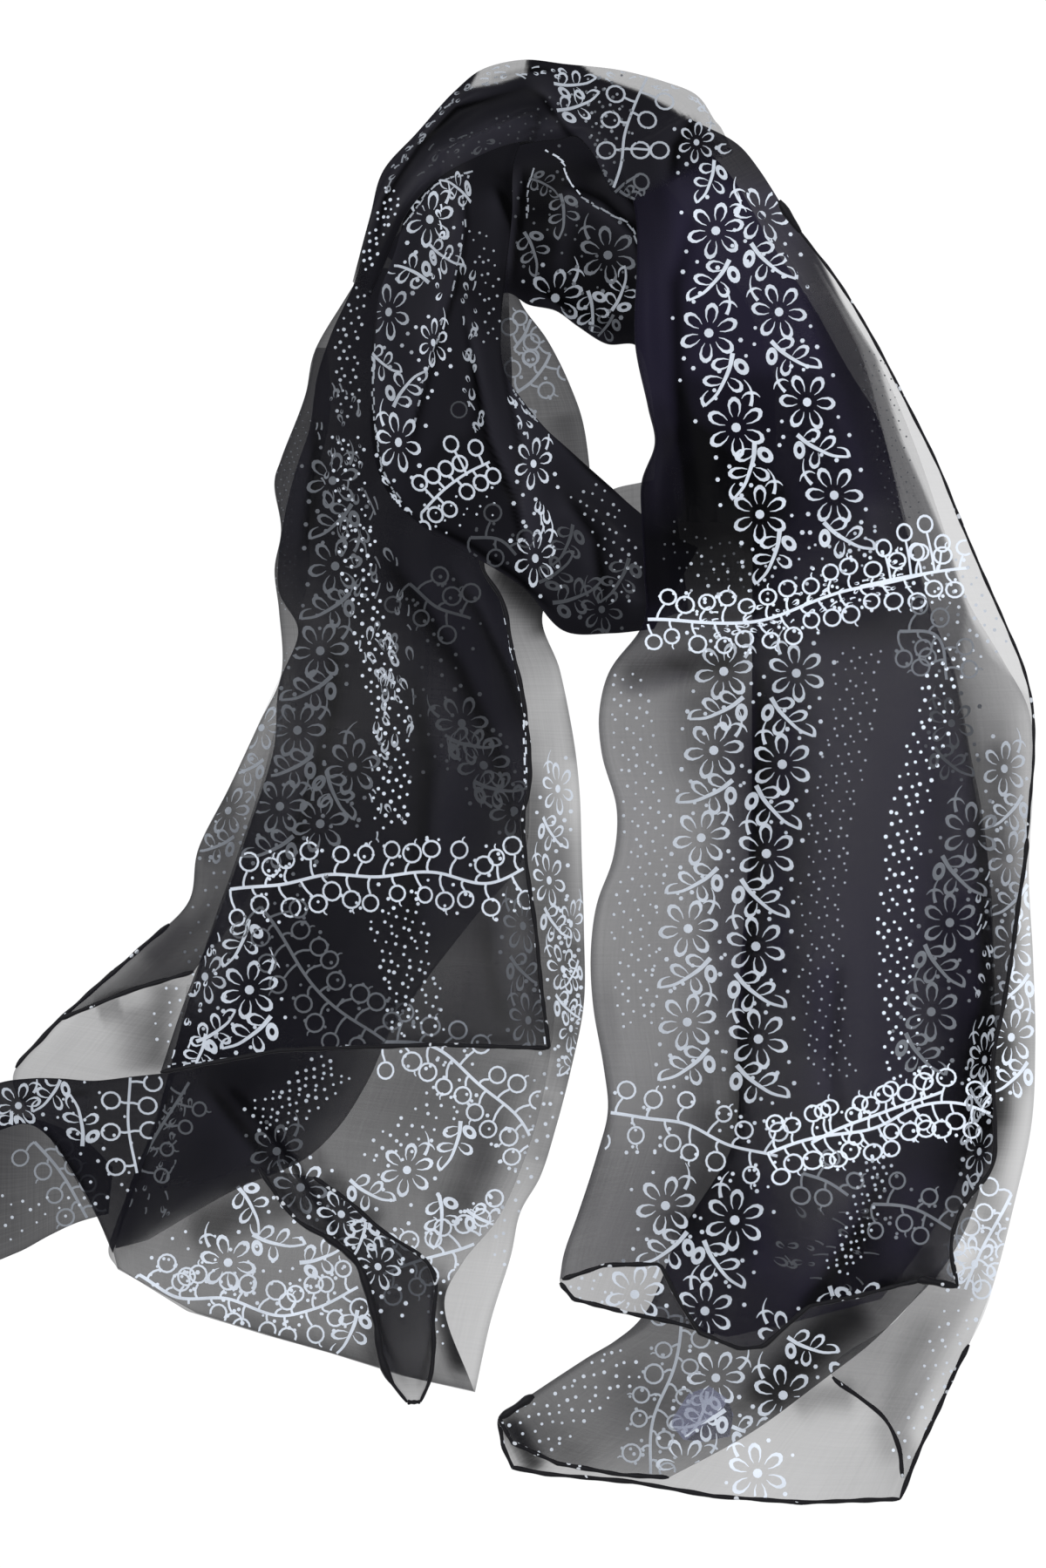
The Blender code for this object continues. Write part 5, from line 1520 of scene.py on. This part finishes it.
PRINT_BACK_OUTER = (
    (0.76, berries, ((699, 230), (712, 192), (716, 158), (728, 122), (742, 90)),
     ((706, 110), (700, 140), (695, 176), (742, 140), (734, 176), (756, 176), (762, 118)), 4.2),
    (0.42, berries, ((700, 228), (716, 214), (732, 204)), ((686, 206), (735, 212), (728, 232)),
     3.8),
    (0.42, dots, ((690, 90), (700, 150), (690, 210)), 50, 34, 0.7, 122),
    (0.42, sprigs, ((688, 215, 1.3, False, 0.8), (729, 231, 0.3, True, 0.9)), 9),
    (0.8, flowers, ((798, 167),), False, 0.72, 0.9, 112, False),
    (0.8, sprigs, ((833, 190, 0.5, False, 0.8), (812, 214, 0.3, False, 0.8),
                   (664, 122, 1.1, True, 0.8), (660, 98, 0.9, True, 0.7))),
    (0.8, scatter, ((556, 88), (590, 82), (650, 90)), 14, 16, 4, 114),
    (0.8, scatter, ((690, 84), (760, 98), (820, 130)), 16, 16, 4, 123),
    (0.6, scatter, ((440, 220), (480, 160), (525, 112), (580, 92)), 10, 34, 3.2, 113),
    (0.92, dots, ((455, 222), (430, 270), (416, 312)), 26, 34, 0.75, 64),
    (0.6, dots, ((660, 100), (690, 130), (700, 170)), 60, 30, 0.7, 115),
    (0.3, dots, ((640, 130), (600, 145), (560, 165), (510, 195)), 40, 44, 0.55, 116),
    (0.3, scatter, ((480, 200), (520, 175), (560, 160)), 30, 10, 4, 121),
)
# A painted bluish sheen at the right tail's end, drawn as a flat area in the print's material.
PAINTED_SHEEN = (
    (0.6, area, ((768, 1632), (790, 1598), (814, 1590), (834, 1604), (841, 1622), (837, 1647),
                 (806, 1653), (784, 1651))),
)


# ---------------------------------------------------------------- camera, floor and light
FLOOR_HALF = 4.0                     # metres
FLOOR_DROP = 0.0006                  # below the surface that the cloth rests on, metres
FLOOR_COLOUR = (0.94, 0.94, 0.945)
WORLD_STRENGTH = 0.35


def make_camera():
    data = bpy.data.cameras.new("camera")
    data.sensor_width = SENSOR
    data.lens = SENSOR * CAMERA_HEIGHT / (PHOTO_SIZE[1] * PIXEL * MM)
    data.clip_end = 20
    camera = linked("camera", data)
    camera.location = (*(SHIFT * MM), CAMERA_HEIGHT)
    bpy.context.scene.camera = camera


def make_floor():
    data = bpy.data.meshes.new("floor")
    corners = [(x * FLOOR_HALF, y * FLOOR_HALF, 0) for x, y in ((-1, -1), (1, -1), (1, 1), (-1, 1))]
    data.from_pydata(corners, [], [(0, 1, 2, 3)])
    look = Look("floor", 0.9, sheen=0.0, specular=0.1)
    look.inputs["Base Color"].default_value = (*FLOOR_COLOUR, 1)
    data.materials.append(look.material)
    floor = linked("floor", data)
    floor.location.z = -FLOOR_DROP


def sun(name, way, strength, softness):
    """A sun that shines the given way, as soft as its width in degrees."""
    data = bpy.data.lights.new(name, "SUN")
    data.energy = strength
    data.angle = math.radians(softness)
    lamp = linked(name, data)
    lamp.rotation_mode = "QUATERNION"
    lamp.rotation_quaternion = Vector(way).to_track_quat("-Z", "Y")


def make_light():
    sun("key", (0.35, -0.45, -1.0), 2.1, 25)
    sun("fill", (-0.8, 0.25, -0.9), 0.7, 40)
    world = bpy.data.worlds.new("world")
    world.use_nodes = True
    sky = world.node_tree.nodes["Background"].inputs
    sky["Color"].default_value = (1, 1, 1, 1)
    sky["Strength"].default_value = WORLD_STRENGTH
    bpy.context.scene.world = world
    bpy.context.scene.view_settings.view_transform = "Standard"


# ---------------------------------------------------------------- kinds of stretches
def finish_stretch(node, prints, hems=(), nubs=(), fine=()):
    """Hides the stretch's solid and adds its hems and print."""
    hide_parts(node)
    if hems:
        hem_object(node + "_hem", hems, HEM_RADIUS)
    if nubs:
        hem_object(node + "_hem_ends", nubs, NUB_RADIUS)
    if fine:
        hem_object(node + "_edge_hem", fine, FINE_HEM_RADIUS)
    for name, rows, leaf, *looks in prints:
        print_object(node + "_" + name, rows, leaf, *looks)


def flat_stretch(node, leaf, rows=(), hems=(), nubs=()):
    points = leaf.points()
    thing = cloth_object(node + "_cloth", points, leaf.looks(), SHEER)
    prints = [("print", rows, leaf)] if rows else []
    finish_stretch(node, prints, hems, nubs)


def folded_stretch(node, lower, upper, material, prints, hems, nubs=(), fine=()):
    """A lower and an upper leaf in one piece, round their left edge."""
    points, looks = folded_points(lower, upper)
    thing = cloth_object(node + "_cloth", points, looks, material)
    finish_stretch(node, prints, hems, nubs, fine)


def heap_stretch(node, sections, layers, creases, patches, rows):
    """A pleated stretch: its top with creases, and its plain underside."""
    top = Leaf(sections, layers=layers, pitch=PLEATED_PITCH)
    under = Leaf(sections, pitch=PLEATED_PITCH)
    under.height = np.maximum(read_heights(under, node, False) - WALL / 2, LOWEST)
    lay(top, node, creases, patches=patches)
    top.height += WALL / 2
    under.layers = top.layers.copy()
    under.height = np.minimum(under.height, top.height - LEAST_HEAP)
    points, looks = heap_points(top, under)
    thing = cloth_object(node + "_cloth", points, looks, DENSE)
    finish_stretch(node, [("print", rows, top)])


LOWER, UPPER = (0, 1, 2, 3), (0, 1, 4, 5)   # a leaf's columns in a fold's table


def fold_leaf(table, columns, hem, layers, fold_lines):
    """One leaf of a folded stretch, with as many rows as the other."""
    rows = np.array(table, float)
    steps = round(length_of(middles(rows)) / PITCH)
    return Leaf(rows[:, columns], hem, layers, steps=steps, fold_lines=fold_lines)


def part_of(line, start, end):
    last = len(line) - 1
    return line[int(start * last):int(end * last) + 1]


def along_edge(leaf, edge, start=0.0, end=1.0):
    """A line of points along the leaf's left (0) or right (-1) edge."""
    return part_of(leaf.points()[:, edge], start, end)


def along_hem(leaf, start=0.0, end=1.0):
    """A line of points along the leaf's last row."""
    return part_of(leaf.points()[-1], start, end)


# ---------------------------------------------------------------- the stretches, lowest first
def left_tail_ground():
    leaf = Leaf(LEFT_GROUND, HEM_GROUND, LAYERS_GROUND, fold_lines=(0.6, 0.4), end_line=0.6)
    lay(leaf, "left_tail_ground", CREASES_GROUND, SHADES_GROUND)
    hems = [along_edge(leaf, 0, 0.62, 0.80)]
    flat_stretch("left_tail_ground", leaf, PRINT_GROUND, hems)


def left_tail_rim():
    leaf = lay(Leaf(LEFT_RIM, layers=LAYERS_RIM), "left_tail_rim")
    flat_stretch("left_tail_rim", leaf)


def left_tail_lobe():
    leaf = Leaf(LEFT_LOBE, HEM_LOBE, LAYERS_LOBE, fold_lines=(0.3, 0))
    lay(leaf, "left_tail_lobe", CREASES_LOBE)
    hems = [along_hem(leaf)]
    flat_stretch("left_tail_lobe", leaf, hems=hems)


def left_corner_under():
    leaf = Leaf(CORNER_UNDER, layers=LAYERS_CORNER_UNDER, fold_lines=(0.5, 0.5))
    lay(leaf, "left_corner_under")
    flat_stretch("left_corner_under", leaf, PRINT_CORNER_UNDER)


def left_tail_second():
    leaf = Leaf(LEFT_SECOND, HEM_SECOND, LAYERS_SECOND, fold_lines=(0.4, 0.1), end_line=0.3)
    lay(leaf, "left_tail_second", CREASES_SECOND, SHADES_SECOND)
    flat_stretch("left_tail_second", leaf, PRINT_SECOND)


def left_tail_middle():
    leaf = Leaf(LEFT_MIDDLE, layers=LAYERS_MIDDLE, fold_lines=(0.3, 0.3))
    lay(leaf, "left_tail_middle", CREASES_MIDDLE, SHADES_MIDDLE)
    flat_stretch("left_tail_middle", leaf, PRINT_MIDDLE)


def left_corner_upper():
    leaf = Leaf(CORNER_UPPER, layers=LAYERS_CORNER_UPPER, fold_lines=(0.5, 0.4))
    lay(leaf, "left_corner_upper", CREASES_CORNER)
    flat_stretch("left_corner_upper", leaf, PRINT_CORNER_UPPER)


def left_tail_tie():
    leaf = Leaf(LEFT_TIE, layers=LAYERS_TIE, fold_lines=(0.6, 0.6))
    lay(leaf, "left_tail_tie", CREASES_TIE)
    hems = [along_edge(leaf, 0), along_edge(leaf, -1), along_hem(leaf)]
    nubs = [along_edge(leaf, 0, 0.3, 0.95)]
    flat_stretch("left_tail_tie", leaf, PRINT_TIE, hems, nubs)


def neck_back_inner():
    heap_stretch("neck_back_inner", BACK_INNER, LAYERS_BACK_INNER, CREASES_BACK_INNER,
                 PATCHES_BACK_INNER, PRINT_BACK_INNER)


def left_tail_panel():
    leaf = Leaf(LEFT_PANEL, HEM_LEFT_PANEL, LAYERS_LEFT_PANEL, fold_lines=(0.5, 0))
    lay(leaf, "left_tail_panel", CREASES_LEFT_PANEL, SHADES_PANEL)
    hems = [along_edge(leaf, -1, 0.30, 1.0), along_hem(leaf)]
    flat_stretch("left_tail_panel", leaf,
                 PRINT_LEFT_PANEL, hems)


def neck_crossing_under():
    leaf = lay(Leaf(CROSSING_UNDER, layers=LAYERS_CROSSING_UNDER), "neck_crossing_under")
    flat_stretch("neck_crossing_under", leaf)


def neck_crossing():
    heap_stretch("neck_crossing", CROSSING, LAYERS_CROSSING, CREASES_CROSSING, PATCHES_CROSSING,
                 PRINT_CROSSING)


def right_tail_under():
    """The lower fold, with the turned edge between its two leaves."""
    lower = fold_leaf(RIGHT_UNDER_FOLD, LOWER, HEM_UNDER_LOWER, LAYERS_UNDER_LOWER, (0.4, 0.3))
    lay(lower, "right_tail_under", CREASES_UNDER_LOWER, SHADES_UNDER_LOWER, PATCHES_UNDER_LOWER,
        from_above=False)
    edge = lay(Leaf(RIGHT_TURNED_EDGE, layers=LAYERS_TURNED), "right_tail_turned_edge")
    upper = fold_leaf(RIGHT_UNDER_FOLD, UPPER, HEM_UNDER_UPPER, LAYERS_UNDER_UPPER, (0.4, 0.1))
    lay(upper, "right_tail_under", CREASES_UNDER_UPPER, SHADES_UNDER_UPPER)
    # the last of these is a painted bluish sheen
    prints = [("lower_print", PRINT_UNDER_LOWER, lower), ("print", PRINT_UNDER_UPPER, upper),
              ("patch", PAINTED_SHEEN, upper, INK_LIFT / 2, PAINTED_SHEEN_INK)]
    hems = [along_hem(lower), along_hem(upper), along_edge(lower, -1, 0.86, 1.0)]
    nubs = [along_edge(upper, 0, 0.965, 1.0)]
    folded_stretch("right_tail_under", lower, upper, SHEER, prints, hems, nubs)
    hems = [along_edge(edge, 0, 0.67, 1.0)]
    flat_stretch("right_tail_turned_edge", edge, hems=hems)


def right_tail_panel():
    """The upper fold, which lies over the loop."""
    lower = fold_leaf(RIGHT_PANEL_FOLD, LOWER, HEM_PANEL_LOWER, LAYERS_PANEL_LOWER, (0.3, 0.2))
    lay(lower, "right_tail_panel", from_above=False)
    upper = fold_leaf(RIGHT_PANEL_FOLD, UPPER, HEM_PANEL_UPPER, LAYERS_PANEL_UPPER, (0.4, 0.0))
    lay(upper, "right_tail_panel", CREASES_PANEL_UPPER, SHADES_PANEL_UPPER, PATCHES_PANEL_UPPER)
    prints = [("lower_print", PRINT_PANEL_LOWER, lower), ("print", PRINT_PANEL_UPPER, upper)]
    hems = [along_hem(lower, 0.0, 0.55), along_hem(upper), along_edge(upper, -1, 0.62, 1.0)]
    nubs = [along_hem(upper, 0.87, 1.0), along_edge(upper, -1, 0.085, 0.11)]
    fine = [along_edge(upper, -1, 0.09, 0.62)]
    folded_stretch("right_tail_panel", lower, upper, COOL,
                   prints, hems, nubs, fine)


def neck_back_outer():
    heap_stretch("neck_back_outer", BACK_OUTER, LAYERS_BACK_OUTER, CREASES_BACK_OUTER,
                 PATCHES_BACK_OUTER, PRINT_BACK_OUTER)


make_camera()
make_floor()
make_light()
left_tail_ground()
left_tail_rim()
left_tail_lobe()
left_corner_under()
left_tail_second()
left_tail_middle()
left_corner_upper()
left_tail_tie()
neck_back_inner()
left_tail_panel()
neck_crossing_under()
neck_crossing()
right_tail_under()
right_tail_panel()
neck_back_outer()

bpy.context.view_layer.update()
